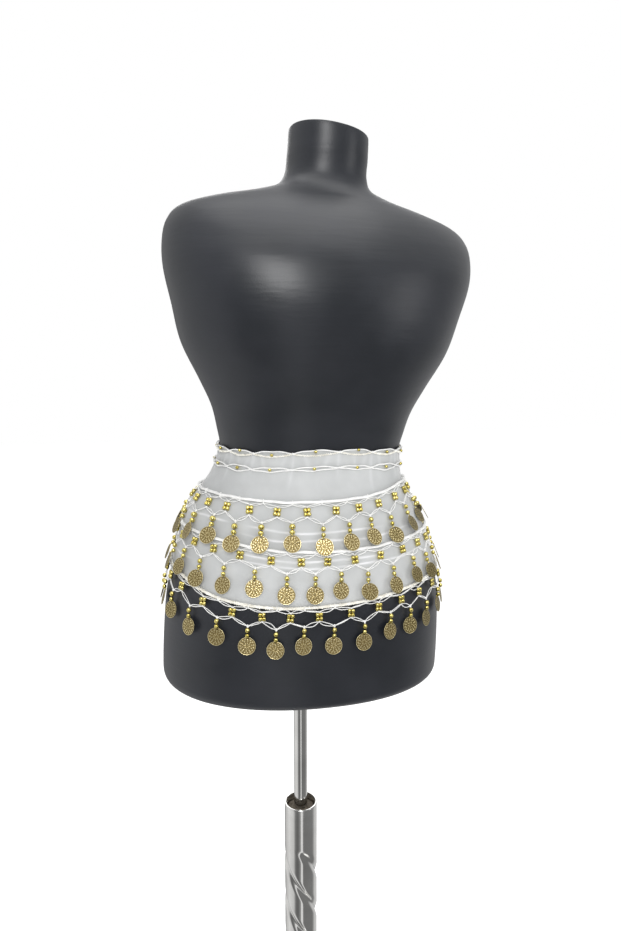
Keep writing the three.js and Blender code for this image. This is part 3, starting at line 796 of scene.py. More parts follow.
# %% Shape of the chiffon at a point
def crease_at(angle, height):
    """Rise of the cloth out of its smooth shape, in mm, and how white it is where it is creased double, with
    a painted highlight on the crest of a raised pull.
    """
    waist = line_height(WAIST, angle)
    drop = waist - height
    radius = HIP_ROUND / (2 * math.pi)
    number, share = between_joints(angle)
    number += share > 0.5
    off = (angle - joint_angle(number)) * radius
    shift, half_width, high, end = TUCKS[number % len(TUCKS)]
    tuck = ridge(off - shift, half_width) * (1 - smoothstep(drop, end - 20, end))
    rise, pressed_and_highlight = high * tuck, TUCK_WHITE * tuck
    between = smoothstep(drop, 2, 6) * (1 - smoothstep(drop, 16, 24))
    for shift, slope, half_width, depth in PULLS:
        reach = shift * (1 + 0.2 * math.sin(number * 1.9))
        pull = ridge(off - reach - slope * drop * 0.5, half_width) * between
        rise += depth * pull
        # Painted highlight: only the crest of a raised pull is whitened.
        pressed_and_highlight += PULL_HIGHLIGHT * pull * (depth > 0)
    degrees = (math.degrees(angle) + 180) % 360 - 180
    for line, below, middle, half_length, depth in LEVEL_CREASES:
        waver = 0.9 * math.sin(angle * 9 + middle)
        across = ridge(line_height(line, angle) - below + waver - height, LEVEL_CREASE_HALF_WIDTH)
        if across > 0.01:
            along = 1 - smoothstep(abs(degrees - middle), half_length * 0.55, half_length)
            along *= 0.75 + 0.25 * math.sin(angle * 17 + below)
            rise += depth * across * along
            pressed_and_highlight += CREASE_WHITE * across * along
    place = skin_point(angle, height) * 0.02
    rise += 0.22 * noise.noise(place) + 0.12 * noise.noise(place * 2.7)
    return rise, min(pressed_and_highlight, 1)


# %% [markdown]
# ## The chiffon panel
# One grid covers the whole cut, from one end to the other. Its rows follow the hem, the two cords
# and the waist, so that each cord lies along one row of the grid. A Solidify modifier
# gives the cloth its thickness. The lap is part of the same sheet: the upper end simply rises over
# the lower one.

# %% Chiffon panel
CLOTH_THICKNESS = 0.3
CLOTH_COLUMNS = 340
CLOTH_ROWS = 138
CLOTH_SPAN = 2 * math.pi + LAP_ANGLE
CLOTH_UV_DEPTH = 0.165  # metres of the UV map from hem to waist
TOP_EDGING_DROP = 1.0
TOP_EYE_HALF_HEIGHT = 3.2


def cloth_height(angle, v):
    """Height at a share v of the way from the hem to the top, in three bands between the lines."""
    heights = [line_height(line, angle) for line in (HEM, CORD_2, CORD_1, WAIST)]
    heights[3] += eye_drop(angle, TOP_EYE_HALF_HEIGHT) - TOP_EDGING_DROP - 0.3
    band = min(int(v * 3), 2)
    return heights[band] + (heights[band + 1] - heights[band]) * (v * 3 - band)


def chiffon_panel():
    pressed_and_highlight_by_corner = {}

    def place(u, v):
        angle = -math.pi + u * CLOTH_SPAN
        height = cloth_height(angle, v)
        rise, pressed_and_highlight = crease_at(angle, height)
        point, _, _, out = belt_frame(WAIST, angle, line_height(WAIST, angle) - height)
        lower_end = 1 - smoothstep(u * CLOTH_SPAN, LAP_ANGLE - 0.02, LAP_ANGLE)
        lapped = max(lower_end, smoothstep(angle, math.pi - 0.01, math.pi + 0.01))
        edge = 1 - smoothstep(min(u, 1 - u) * HIP_ROUND, 1.5, 3)
        corner = round(u * CLOTH_COLUMNS), round(v * CLOTH_ROWS)
        pressed_and_highlight_by_corner[corner] = min(1, pressed_and_highlight + LAP_WHITE * lapped + END_WHITE * edge)
        return point + out * (CLOTH_LIFT + rise)

    length = HIP_ROUND * CLOTH_SPAN / (2 * math.pi) * MM
    mesh = bent_grid(CLOTH_COLUMNS, CLOTH_ROWS, place, size=(length, CLOTH_UV_DEPTH))
    # The layer holds the white of doubled cloth and the painted highlight of the raised pulls.
    layer = mesh.verts.layers.float.new("pressed_and_highlight")
    mesh.verts.index_update()
    for vertex in mesh.verts:
        row, column = divmod(vertex.index, CLOTH_COLUMNS + 1)
        vertex[layer] = pressed_and_highlight_by_corner[column, row]
    bmesh.ops.recalc_face_normals(mesh, faces=mesh.faces)
    return mesh


chiffon = finish_piece(chiffon_panel(), "chiffon_panel", LEANING, CHIFFON)
wall = chiffon.modifiers.new("wall", "SOLIDIFY")
wall.thickness = CLOTH_THICKNESS * MM
wall.offset = 0
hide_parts("cloth_panel")

corners = [vertex.co for vertex in chiffon.data.vertices]
hem_length = sum((corners[i + 1] - corners[i]).length for i in range(CLOTH_COLUMNS))
waist_length = sum((corners[-i - 1] - corners[-i - 2]).length for i in range(CLOTH_COLUMNS))
front_corners = corners[CLOTH_COLUMNS // 2 :: CLOTH_COLUMNS + 1]
cloth_depth = sum((upper - lower).length for lower, upper in zip(front_corners, front_corners[1:]))
print(f"chiffon: hem {hem_length:.3f} m, waist {waist_length:.3f} m, depth {cloth_depth:.3f} m")

# %% [markdown]
# ## Smooth cords
# The two upper fringe cords are soft rolls of white cotton sewn along the chiffon. A cord is a bent
# grid too: one side of the grid runs along the belt and the other goes round the cord. The thickness
# swells and sinks slightly between the stitches that hold it, and both ends are closed. The hem cord
# further down has such a roll as its core.

# %% Upper fringe cords
CORD_RADIUS = 1.6
CORD_LIFT = 4.3
CORD_SIDES = 14
CORD_STEPS = 420
CORD_WOBBLE = 0.35


def smooth_cord(line, radius=CORD_RADIUS, lift=CORD_LIFT, wobble=0.0):
    def place(u, v):
        angle = TRIM_START + u * (TRIM_END - TRIM_START)
        point, _, down, out = belt_frame(line, angle, wobble * math.sin(angle * 23) * math.sin(angle * 5))
        end = min(u, 1 - u) * CORD_STEPS
        if end < 1.5:
            thick = radius * (0, 0.75)[min(int(end), 1)]
        else:
            thick = radius * (1 + 0.05 * math.sin(angle * 61))
        turn = v * 2 * math.pi
        return point + out * (lift + thick * math.cos(turn)) + down * thick * math.sin(turn)

    return bent_grid(CORD_STEPS, CORD_SIDES, place, closed=True)


UPPER_CORDS = [("fringe_cord_1", CORD_1, "fringe_row_1"), ("fringe_cord_2", CORD_2, "fringe_row_2")]
cords = []
for name, line, node in UPPER_CORDS:
    cord = finish_piece(smooth_cord(line, wobble=CORD_WOBBLE), name, LEANING, COTTON)
    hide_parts(node)
    cords.append(cord)

# %% [markdown]
# ## Copies of small parts
# Beads, knots, crochet grains and coins are each modelled once and then set down many times. A
# template mesh is copied, moved by a matrix and gathered into one piece, which stays a single
# object and rides as one. A bead, a knot or a grain has only a few dozen faces, because it is tiny,
# and the coin has more for its relief.

# %% Gather moved copies of a template
def gather(copies):
    """One bmesh from (template mesh, placing matrix, tone) rows."""
    gathered = bmesh.new()
    for template, place, tone in copies:
        copy = template.copy()
        copy.transform(place)
        if "tone" in copy.attributes:
            copy.attributes["tone"].data.foreach_set("value", [tone] * len(copy.vertices))
        gathered.from_mesh(copy)
        bpy.data.meshes.remove(copy)
    return gathered


def template(name, mesh):
    data = bpy.data.meshes.new(name)
    mesh.to_mesh(data)
    mesh.free()
    return data


def joined(mesh, other):
    """The first bmesh with the second one added to it."""
    data = template("added", other)
    mesh.from_mesh(data)
    bpy.data.meshes.remove(data)
    return mesh


def setting(point, along, down, out):
    """Matrix that puts a template's x along the belt, its z up the belt and its -y out of it."""
    return Matrix.Translation(point) @ Matrix((along, -out, -down)).transposed().to_4x4()


def belt_setting(line, angle, drop, shift, lift):
    point, along, down, out = belt_frame(line, angle, drop)
    return setting(point + along * shift + out * lift, along, out.cross(along), out)


# %% [markdown]
# ## Templates: bead, knot and crochet grain
# A bead is a ball that is slightly flattened towards its holes, with the holes sunk in. The beads
# of a cluster are barrels, so that four of them fill a block. A knot is a small uneven lump of
# thread. A crochet grain is one stitch of a chain: a short, leaning, pinched lump, and a row of
# them overlapping makes the crumbly strand.

# %% Bead, knot and grain
def bead_template(name, fullness):
    """A ball at fullness 2, and more of a barrel above it."""
    mesh = bmesh.new()
    bmesh.ops.create_uvsphere(mesh, u_segments=12, v_segments=7, radius=1)
    for vertex in mesh.verts:
        height, reach = abs(vertex.co.z), math.hypot(vertex.co.x, vertex.co.y)
        if reach > 0.01:
            wide = (1 - height**fullness) ** (1 / fullness) / reach
            vertex.co.x *= wide
            vertex.co.y *= wide
        vertex.co.z *= 0.62 if height > 0.99 else 0.95
    return template(name, mesh)


def knot_template():
    mesh = bmesh.new()
    bmesh.ops.create_uvsphere(mesh, u_segments=9, v_segments=6, radius=1)
    for vertex in mesh.verts:
        vertex.co *= 1 + 0.22 * math.sin(vertex.co.z * 5 + math.atan2(vertex.co.y, vertex.co.x) * 2)
    return template("knot", mesh)


def grain_template():
    mesh = bmesh.new()
    bmesh.ops.create_uvsphere(mesh, u_segments=8, v_segments=5, radius=1)
    bmesh.ops.scale(mesh, vec=(0.72, 0.8, 1.15), verts=mesh.verts)
    bmesh.ops.rotate(mesh, cent=(0, 0, 0), matrix=Matrix.Rotation(math.radians(32), 3, "Y"), verts=mesh.verts)
    return template("grain", mesh)


BEAD, BARREL = bead_template("bead", 2.0), bead_template("barrel bead", 2.9)
KNOT, GRAIN = knot_template(), grain_template()
print("faces of a bead, a knot and a grain:", len(BEAD.polygons), len(KNOT.polygons), len(GRAIN.polygons))

# %% [markdown]
# ## Crocheted strands
# The hem cord and the lower strand of the waist edging are crocheted. They are chains of grains set
# down along a route, by turns above and below it, each with a size and a lean of its own. The hem
# cord's grains lie on a smooth core.

# %% Chain of crochet grains
GRAIN_PITCH = 1.0


def crochet_chain(route, radius, pitch=GRAIN_PITCH):
    """Copies of the grain along route(length) -> (point, along, down, out), to the route's length."""
    length, frame_at = route
    copies = []
    count = int(length / pitch)
    for i in range(count):
        point, along, down, out = frame_at((i + 0.5) / count)
        uneven = noise.noise(Vector((i * 0.83, radius, 0)))
        side = (1 if i % 2 else -1) * (1 + 0.6 * uneven)
        place = point + down * side * radius * 0.32 + out * 0.3 * radius * math.sin(i * 2.3)
        size = radius * (0.80 + 0.12 * math.sin(i * 1.7) + 0.15 * uneven)
        lean = Matrix.Rotation(0.9 * math.sin(i * 2.9) - 0.3, 4, "Y")
        copies.append((GRAIN, setting(place, along, down, out) @ lean @ Matrix.Scale(size, 4), 0))
    return copies


def with_length(frame_at, steps):
    """A route's length, measured over a number of steps, and the route."""
    points = [frame_at(i / steps)[0] for i in range(steps + 1)]
    return sum((b - a).length for a, b in zip(points, points[1:])), frame_at


def line_route(line, lift):
    """Route along a line of the belt, with its rough length."""

    def frame_at(share):
        angle = TRIM_START + share * (TRIM_END - TRIM_START)
        point, along, down, out = belt_frame(line, angle)
        return point + out * lift, along, down, out

    return with_length(frame_at, 90)


HEM_CORE = {"radius": 1.45, "lift": 3.8}
HEM_GRAINS = {"radius": 1.6, "lift": 3.9}
hem_core = smooth_cord(HEM, **HEM_CORE)
hem_grains = gather(crochet_chain(line_route(HEM, HEM_GRAINS["lift"]), HEM_GRAINS["radius"]))
hem_cord = finish_piece(joined(hem_core, hem_grains), "hem_cord", LEANING, CROCHET)
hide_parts("fringe_row_3")
cords.append(hem_cord)

# %% [markdown]
# ## Threads
# A thread is a curve with a round bevel. All the threads of one net are splines of one curve, which
# Blender turns into a mesh in one go. Each run of the net is a pair of threads that leave one knot
# together, bow apart and meet again at the next, as a lens.

# %% Curve threads to a mesh
THREAD_RADIUS = 0.45


def thread_mesh(name, routes, radius=THREAD_RADIUS):
    """A bmesh of round threads along the routes, each a list of points."""
    curve = bpy.data.curves.new(name, "CURVE")
    curve.dimensions = "3D"
    curve.bevel_depth = radius
    curve.bevel_resolution = 1
    curve.use_fill_caps = True
    for route in routes:
        spline = curve.splines.new("POLY")
        spline.points.add(len(route) - 1)
        for knot, point in zip(spline.points, route):
            knot.co = (*point, 1)
    holder = bpy.data.objects.new(name, curve)
    bpy.context.collection.objects.link(holder)
    threads = bmesh.new()
    mesh = bpy.data.meshes.new_from_object(holder)
    threads.from_mesh(mesh)
    bpy.data.objects.remove(holder)
    bpy.data.meshes.remove(mesh)
    return threads


def lens_pair(start, end, bow, number, steps=8):
    """Two routes between (shift, drop, lift) places that bow apart, by an amount of their own."""
    (x0, y0, l0), (x1, y1, l1) = start, end
    length = math.hypot(x1 - x0, y1 - y0)
    side_x, side_y = -(y1 - y0) / length, (x1 - x0) / length
    routes = []
    for side in (-1, 1):
        amount = bow * (0.75 + 0.45 * math.sin(number * 2.1 + side)) * side
        route = []
        for i in range(steps + 1):
            share = i / steps
            arch = math.sin(math.pi * share)
            wave = 0.3 * math.sin(2 * math.pi * share + number * 1.3 + side)
            offset = amount * arch**0.8 + wave * arch * bow * 0.5
            lift = l0 + (l1 - l0) * share + 0.35 * side * arch * math.sin(number * 1.7)
            shift = x0 + (x1 - x0) * share + side_x * offset
            drop = y0 + (y1 - y0) * share + side_y * offset
            route.append((shift, drop, lift))
        routes.append(route)
    return routes


# %% [markdown]
# ## The coin
# A coin is struck from thin sheet: a raised rim, two rings of dots, and a plain eight-petalled
# rosette with a flat middle. It is a polar bent grid, front, edge and back, and its relief is worked
# into the grid's points, so that it is real form. The hole at the top is cut by taking out four
# faces on each side and bridging the two openings.

# %% Coin with relief
COIN_RADIUS = 9.8
COIN_THICKNESS = 1.0
COIN_COLUMNS = 60
RELIEF = 0.34
COIN_RINGS = (0, 0.9, 1.6, 2.5, 3.4, 3.9, 4.6, 5.3, 6.0, 6.6, 7.3, 8.0, 8.7, 9.1, 9.4, 9.7)
BACK_RINGS = (0, 0.9, 2.5, 3.9, 6.6, 7.3, 8.0, 8.7, 9.1, 9.7)
# Rings of dots: radius of the middle, radii of the dots' edges, columns from one dot to the next.
DOT_RINGS = [(7.3, (6.6, 8.0), 4), (5.3, (4.6, 6.0), 6)]
HOLE_RADIUS = 0.85
HOLE_PLACE = 8.0


def coin_relief(radius, column):
    """Height of the coin's relief, from 0 to 1, at a ring and a column of its grid."""
    turn = column / COIN_COLUMNS * 2 * math.pi
    if radius > 9.2:
        return 0.72 if radius < 9.6 else 0.5
    for middle, edges, step in DOT_RINGS:
        off = min(column % step, -column % step)
        if radius == middle and off < 2:
            return (1.0, 0.3)[off]
        if radius in edges and off == 0:
            return 0.55
    if 1.0 < radius < 3.8:
        return 0.5 * abs(math.cos(4 * turn)) ** 3
    return 0.0


def coin_template():
    rings = [(radius, 1) for radius in COIN_RINGS] + [(COIN_RADIUS, 0.5), (COIN_RADIUS, -0.5)]
    rings += [(radius, -1) for radius in reversed(BACK_RINGS)]

    def place(u, v):
        radius, side = rings[round(v * (len(rings) - 1))]
        column = round(u * COIN_COLUMNS) % COIN_COLUMNS
        turn = column / COIN_COLUMNS * 2 * math.pi
        if abs(side) == 1:
            thick = side * (COIN_THICKNESS / 2 - RELIEF + RELIEF * coin_relief(radius, column))
        else:
            thick = side * COIN_THICKNESS / 2
        return Vector((radius * math.sin(turn), -thick, radius * math.cos(turn)))

    mesh = bent_grid(COIN_COLUMNS, len(rings) - 1, place, closed=True)
    cut_coin_hole(mesh)
    layer = mesh.verts.layers.float.new("relief")
    for vertex in mesh.verts:
        rise = (abs(vertex.co.y) - (COIN_THICKNESS / 2 - RELIEF)) / RELIEF
        vertex[layer] = min(max(rise, 0), 1)
    mesh.verts.layers.float.new("tone")
    return template("coin", mesh)


# %% Hole for the thread
def cut_coin_hole(mesh):
    """Opens the four faces round the hole's place on each side and joins the two openings."""
    middle = Vector((0, 0, HOLE_PLACE))
    openings = []
    for side in (-1, 1):
        near = [
            v for v in mesh.verts
            if v.co.y * side > 0 and (Vector((v.co.x, 0, v.co.z)) - middle).length < 0.3
        ]
        faces = [face for face in mesh.faces if any(v in near for v in face.verts)]
        rim = {edge for face in faces for edge in face.edges if not any(v in near for v in edge.verts)}
        openings.append(rim)
        bmesh.ops.delete(mesh, geom=faces, context="FACES")
    for rim in openings:
        for vertex in {v for edge in rim for v in edge.verts}:
            away = Vector((vertex.co.x, 0, vertex.co.z)) - middle
            away.normalize()
            vertex.co.x, vertex.co.z = away.x * HOLE_RADIUS, middle.z + away.z * HOLE_RADIUS
    bmesh.ops.bridge_loops(mesh, edges=[edge for rim in openings for edge in rim])
    bmesh.ops.recalc_face_normals(mesh, faces=mesh.faces)


COIN = coin_template()
print("faces of a coin:", len(COIN.polygons))

# %% [markdown]
# ## The coin fringes
# One unit of a fringe is a knot under the cord, two pairs of threads out to the bead clusters
# beside it, two pairs down from them to a junction, and a pendant below: a bead, a slightly smaller
# one, a ring and a coin. On one side of the first row the beads are larger. All places are given as
# a shift along the belt and a drop below the row's cord. Where a coin reaches the next row's cord it
# lies on top of it.

# %% Sizes of one unit of the fringe
FRINGES = [
    {"line": CORD_1, "below": CORD_2, "units": 26, "front": -0.016, "seed": 1.1, "node": "fringe_row_1"},
    {"line": CORD_2, "below": HEM, "units": 28, "front": -0.027, "seed": 2.7, "node": "fringe_row_2"},
    {"line": HEM, "below": None, "units": 29, "front": -0.035, "seed": 4.3, "node": "fringe_row_3"},
]
KNOT_DROP = 2.8
CLUSTER_DROP = 10.4
CLUSTER_KNOT_RISE = 5.1
CLUSTER_BEAD = {"half_width": 2.2, "half_height": 2.5}
JUNCTION_DROP = 22.0
UPPER_BEAD_DROP = 26.6
LOWER_BEAD_DROP = 32.6
BEAD_SIZES = {"small": ((2.8, 3.1), (2.5, 2.9)), "large": ((3.6, 3.5), (3.2, 3.1))}  # radius, half height
COIN_DROP = 44.5
COIN_TURN = math.radians(10)
COIN_SWING = math.radians(5)
COIN_TILT = math.radians(7)
COIN_LIFT, COIN_LIFT_ON_CORD = 4.9, 8.9
CLUSTER_LIFT = 4.7
CLUSTER_PACKING = 0.92  # place of a cluster's bead, in shares of its own half size
CLUSTER_ROLL = 0.10
KNOT_LIFT = 4.2
BEAD_LIFT = 5.4
LENS_BOW = 1.5
LENS_PLAY = 0.45
STITCH_OVER_CORD = ((-1.8, 4.2), (-1.0, 5.8), (0.7, 6.3), (2.0, 5.6), (2.8, 4.3))  # drop, lift

# %% [markdown]
# The net is knotted by hand, so no pendant sits quite at its even place. Each drifts along the belt
# by a share of the pitch, and hangs a little high or low. Both follow a wave that never falls into
# step with the pendants.
#
# A thread falls the steepest way down the form, which isn't a line of equal angle, because the form
# widens faster at its sides than at its front. `hanging_angle` finds the angle, at any drop, that is
# straight above a coin.

# %% Play of the pendants
PENDANT_DRIFT = 0.08
PENDANT_HANG = 2.5
HANG_SHARE = {"junction": 0.6, "upper bead": 0.85, "lower bead": 0.95}  # of the coin's hang


def pendant_hang(fringe, number):
    return PENDANT_HANG * math.sin(number * 2.1 + fringe["seed"])


def hanging_angle(line, coin_angle, drop):
    """Angle at a drop that is straight above the place at the coin's drop."""
    coin_point, along, _, _ = skin_frame(coin_angle, line_height(line, coin_angle) - COIN_DROP)
    step = 0.01
    angle = coin_angle
    for _ in range(3):
        height = line_height(line, angle) - drop
        travel = (skin_point(angle + step, height) - skin_point(angle - step, height)).dot(along)
        angle += (coin_point - skin_point(angle, height)).dot(along) / travel * 2 * step
    return angle


def pendant_angles(fringe):
    """First and last pendant numbers that fit between the trim's ends, and the angle of a pendant."""

    def even_angle(number):
        return angle_at(fringe["front"] + number / fringe["units"])

    def angle_of(number):
        return even_angle(number + PENDANT_DRIFT * math.sin(number * 1.3 + fringe["seed"]))

    first = last = 0
    while even_angle(first - 1.5) > TRIM_START:
        first -= 1
    while even_angle(last + 1.5) < TRIM_END:
        last += 1
    return first, last, angle_of


# %% Place of a coin
def coin_setting(fringe, angle, number):
    """A coin hangs with a small turn and swing of its own, its lower edge tipped out."""
    drop = COIN_DROP + pendant_hang(fringe, number)
    height = line_height(fringe["line"], angle) - drop
    below = fringe["below"]
    on_cord = below is not None and height - COIN_RADIUS < line_height(below, angle) + 3
    point, along, down, out = belt_frame(fringe["line"], angle, drop)
    centre = point + out * (COIN_LIFT_ON_CORD if on_cord else COIN_LIFT)
    down = Matrix.Rotation(-COIN_TILT, 3, along) @ down
    turn = COIN_TURN * math.sin(number * 2.4 + fringe["seed"])
    along = Matrix.Rotation(turn, 3, down) @ along
    out = down.cross(along).normalized()
    swing = Matrix.Rotation(COIN_SWING * math.sin(number * 1.7 + fringe["seed"] * 2), 3, out)
    return setting(centre, swing @ along, swing @ down, out)


# %% [markdown]
# The places of a unit are flat, a shift and a drop, and the belt is curved. A long run of thread
# from a knot to a cluster therefore can't be taken from one frame: each of its points is put on the
# skin at its own angle. `on_belt` does this by turning the shift into an angle.

# %% One row of fringe
def on_belt(fringe, angle, pitch_angle, pitch, place):
    """Point of a flat (shift, drop, lift) place, with the shift turned into an angle of its own."""
    shift, drop, lift = place
    line = fringe["line"]
    return belt_point(line, hanging_angle(line, angle + shift / pitch * pitch_angle, drop), drop, 0, lift)


def hung(line, angle, drop, shift, lift):
    """Setting of a small part on the hanging line of the coin at an angle."""
    return belt_setting(line, hanging_angle(line, angle, drop), drop, shift, lift)


def cluster_parts(fringe, angle, number):
    """Beads and knots of one cluster, which hangs a little off level."""
    line = fringe["line"]
    roll = Matrix.Rotation(CLUSTER_ROLL * math.sin(number * 2.7 + fringe["seed"]), 4, "Y")
    centre = hung(line, angle, CLUSTER_DROP, 0, CLUSTER_LIFT) @ roll
    half_width, half_height = CLUSTER_BEAD["half_width"], CLUSTER_BEAD["half_height"]
    beads, knots = [], []
    for x in (-1, 1):
        for z in (-1, 1):
            off = Vector((x * half_width * CLUSTER_PACKING, 0, z * half_height * CLUSTER_PACKING))
            place = centre @ Matrix.Translation(off)
            beads.append((BARREL, place @ Matrix.Diagonal((half_width, half_width, half_height, 1)), 0))
    for side in (-1, 1):
        place = hung(line, angle, CLUSTER_DROP + side * CLUSTER_KNOT_RISE, 0, KNOT_LIFT)
        knots.append((KNOT, place @ Matrix.Diagonal((1.5, 1.2, 0.9, 1)), 0))
    return beads, knots


def pendant_parts(fringe, angle, number):
    """Beads and coin of one pendant, and the knot that it hangs from."""
    line, hang = fringe["line"], pendant_hang(fringe, number)
    coin_place = coin_setting(fringe, angle, number)
    large = line == CORD_1 and number < 0
    upper_drop = UPPER_BEAD_DROP + HANG_SHARE["upper bead"] * hang
    lower_drop = LOWER_BEAD_DROP + HANG_SHARE["lower bead"] * hang
    sizes = BEAD_SIZES["large" if large else "small"]
    beads = []
    for drop, (radius, half_height) in zip((upper_drop, lower_drop), sizes):
        place = hung(line, angle, drop, 0.25 * math.sin(number * 3.1), BEAD_LIFT)
        beads.append((BEAD, place @ Matrix.Diagonal((radius, radius, half_height, 1)), 0))
    ring = coin_place @ Matrix.Translation((0, 0, COIN_RADIUS + 0.1)) @ Matrix.Diagonal((0.9, 0.9, 1.3, 1))
    beads.append((KNOT, ring, 0))
    junction = hung(line, angle, JUNCTION_DROP + HANG_SHARE["junction"] * hang + 0.4, 0, 4.6)
    tone = 0.45 + 0.35 * math.sin(number * 12.9898 + fringe["seed"] * 7.7)
    return beads, (KNOT, junction @ Matrix.Diagonal((1.15, 1.1, 1.9, 1)), 0), (COIN, coin_place, tone)


def fringe_parts(fringe):
    first, last, angle_of = pendant_angles(fringe)
    line, seed = fringe["line"], fringe["seed"]
    pitch = HIP_ROUND / fringe["units"]
    routes, knots, beads, coins = [], [], [], []

    def cluster_angle(number):
        """Angle of the cluster on a pendant's left."""
        return (angle_of(number - 1) + angle_of(number)) / 2

    for number in range(first, last + 2):
        made_beads, made_knots = cluster_parts(fringe, cluster_angle(number), number)
        beads += made_beads
        knots += made_knots
    for number in range(first, last + 1):
        angle = angle_of(number)
        made_beads, junction_knot, coin = pendant_parts(fringe, angle, number)
        beads += made_beads
        coins.append(coin)
        knots.append(junction_knot)
        junction_drop = JUNCTION_DROP + HANG_SHARE["junction"] * pendant_hang(fringe, number)
        for side in (-1, 1):
            half_angle = abs(cluster_angle(number + (side > 0)) - angle)
            upper_knot = (side * pitch / 2, CLUSTER_DROP - CLUSTER_KNOT_RISE - 0.2, 4.0)
            lower_knot = (side * pitch / 2, CLUSTER_DROP + CLUSTER_KNOT_RISE + 0.2, 4.0)
            cord_knot = (side * 0.7, KNOT_DROP, KNOT_LIFT)
            junction = (side * 0.4, junction_drop, 4.4)
            for k, (start, end) in enumerate(((cord_knot, upper_knot), (lower_knot, junction))):
                bow = LENS_BOW * (1 + LENS_PLAY * math.sin(number * 3.7 + side * 1.3 + k * 2.1 + seed))
                for route in lens_pair(start, end, bow, number * 4 + k * 2 + side + seed):
                    routes.append([on_belt(fringe, angle, half_angle, pitch / 2, place) for place in route])
        header_knot = hung(line, angle, KNOT_DROP - 0.5, 0, KNOT_LIFT)
        knots.append((KNOT, header_knot @ Matrix.Diagonal((1.3, 1.0, 1.0, 1)), 0))
        routes.append([on_belt(fringe, angle, 0, 1, (0, drop, lift)) for drop, lift in STITCH_OVER_CORD])
    return routes, knots, beads, coins


# %% Make the three rows
trims = list(cords)
for row, fringe in enumerate(FRINGES, 1):
    routes, knots, beads, coins = fringe_parts(fringe)
    net = joined(thread_mesh("net", routes), gather(knots))
    net_piece = finish_piece(net, f"thread_net_{row}", LEANING, COTTON)
    bead_piece = finish_piece(gather(beads), f"fringe_beads_{row}", LEANING, GOLD)
    coin_piece = finish_piece(gather(coins), f"coins_{row}", LEANING, COIN_BRASS)
    for piece in (net_piece, bead_piece, coin_piece):
        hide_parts(fringe["node"])
        trims.append(piece)
    print(f"row {row}: {len(coins)} coins, {len(beads)} beads, {len(routes)} threads")

# %% [markdown]
# ## The waist edgings
# Two looped edgings run round the waist. Each is a string of eyes with a gold bead in each: the
# upper edging has a smooth thread above and a crocheted strand below, and the second is two smooth
# threads that cross at every joint.

# %% Waist edgings
SECOND_EDGING_DROP = 19.2
SECOND_EYE_HALF_HEIGHT = 2.6
SECOND_EYE_SIZES = {-2: 1.3, -1: 0.85, 0: 0.8, 1: 0.75, 2: 1.35}  # of the eye after that joint
EDGING_LIFT = 3.7
EDGING_BEAD_RADIUS = 2.0
TOP_THREAD_RADIUS, SECOND_THREAD_RADIUS = 0.75, 0.8
TOP_KNOT_SIZE, SECOND_KNOT_SIZE = 1.2, 1.0
STRAND_RADIUS, STRAND_PITCH = 1.1, 0.85
TOP_BEAD_RISES = {-2: 2.9, -1: -1.4, 0: 1.8, 1: 2.9, 2: 0.0, 3: -1.8}  # above the middle of the eye


def edging_route(drop, half_height, sign, sizes=None, steps=560, crossing=False):
    points = []
    for i in range(steps + 1):
        angle = TRIM_START + (TRIM_END - TRIM_START) * i / steps
        number, share = between_joints(angle)
        way = sign * (-1) ** number if crossing else sign
        cross = 0.5 * way * math.cos(math.pi * share) * crossing
        off = way * eye_drop(angle, half_height, sizes) + 0.35 * math.sin(angle * 31 + drop)
        points.append(belt_point(WAIST, angle, drop + off, 0, EDGING_LIFT + cross))
    return points


def edging_eyes():
    """Number of each eye and the angle of the joint before it."""
    number, _ = between_joints(TRIM_START)
    while joint_angle(number + 1) < TRIM_END:
        number += 1
        yield number, joint_angle(number)


def edging_beads(drop, radius, rises):
    beads = []
    for number, angle in edging_eyes():
        middle = (angle + joint_angle(number + 1)) / 2
        if middle < TRIM_END:
            rise = rises.get(number, 1.5 * math.sin(number * 1.9) if rises else 0)
            place = belt_setting(WAIST, middle, drop - rise, 0, EDGING_LIFT + 0.6)
            beads.append((BEAD, place @ Matrix.Scale(radius, 4), 0))
    return beads


def edging_knots(drop, size):
    stretch = Matrix.Diagonal((size * 1.5, size, size, 1))
    places = [belt_setting(WAIST, angle, drop, 0, EDGING_LIFT) for _, angle in edging_eyes()]
    return [(KNOT, place @ stretch, 0) for place in places]


# %% Upper edging: smooth thread, crocheted strand, beads
def scalloped_route(drop, half_height):
    def frame_at(share):
        angle = TRIM_START + share * (TRIM_END - TRIM_START)
        point, along, down, out = belt_frame(WAIST, angle, drop + eye_drop(angle, half_height))
        return point + out * EDGING_LIFT, along, down, out

    return with_length(frame_at, 400)


top_route = edging_route(TOP_EDGING_DROP, TOP_EYE_HALF_HEIGHT, -1)
top_thread = thread_mesh("top", [top_route], TOP_THREAD_RADIUS)
top_thread = joined(top_thread, gather(edging_knots(TOP_EDGING_DROP, TOP_KNOT_SIZE)))
edging_top = finish_piece(top_thread, "waist_thread", LEANING, COTTON)
strand_route = scalloped_route(TOP_EDGING_DROP, TOP_EYE_HALF_HEIGHT)
strand = crochet_chain(strand_route, STRAND_RADIUS, STRAND_PITCH)
edging_crochet = finish_piece(gather(strand), "waist_crochet", LEANING, CROCHET)
top_beads = gather(edging_beads(TOP_EDGING_DROP, EDGING_BEAD_RADIUS, TOP_BEAD_RISES))
edging_gold = finish_piece(top_beads, "waist_beads", LEANING, GOLD)
for piece in (edging_top, edging_crochet, edging_gold):
    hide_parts("waist_edging_top")
    trims.append(piece)

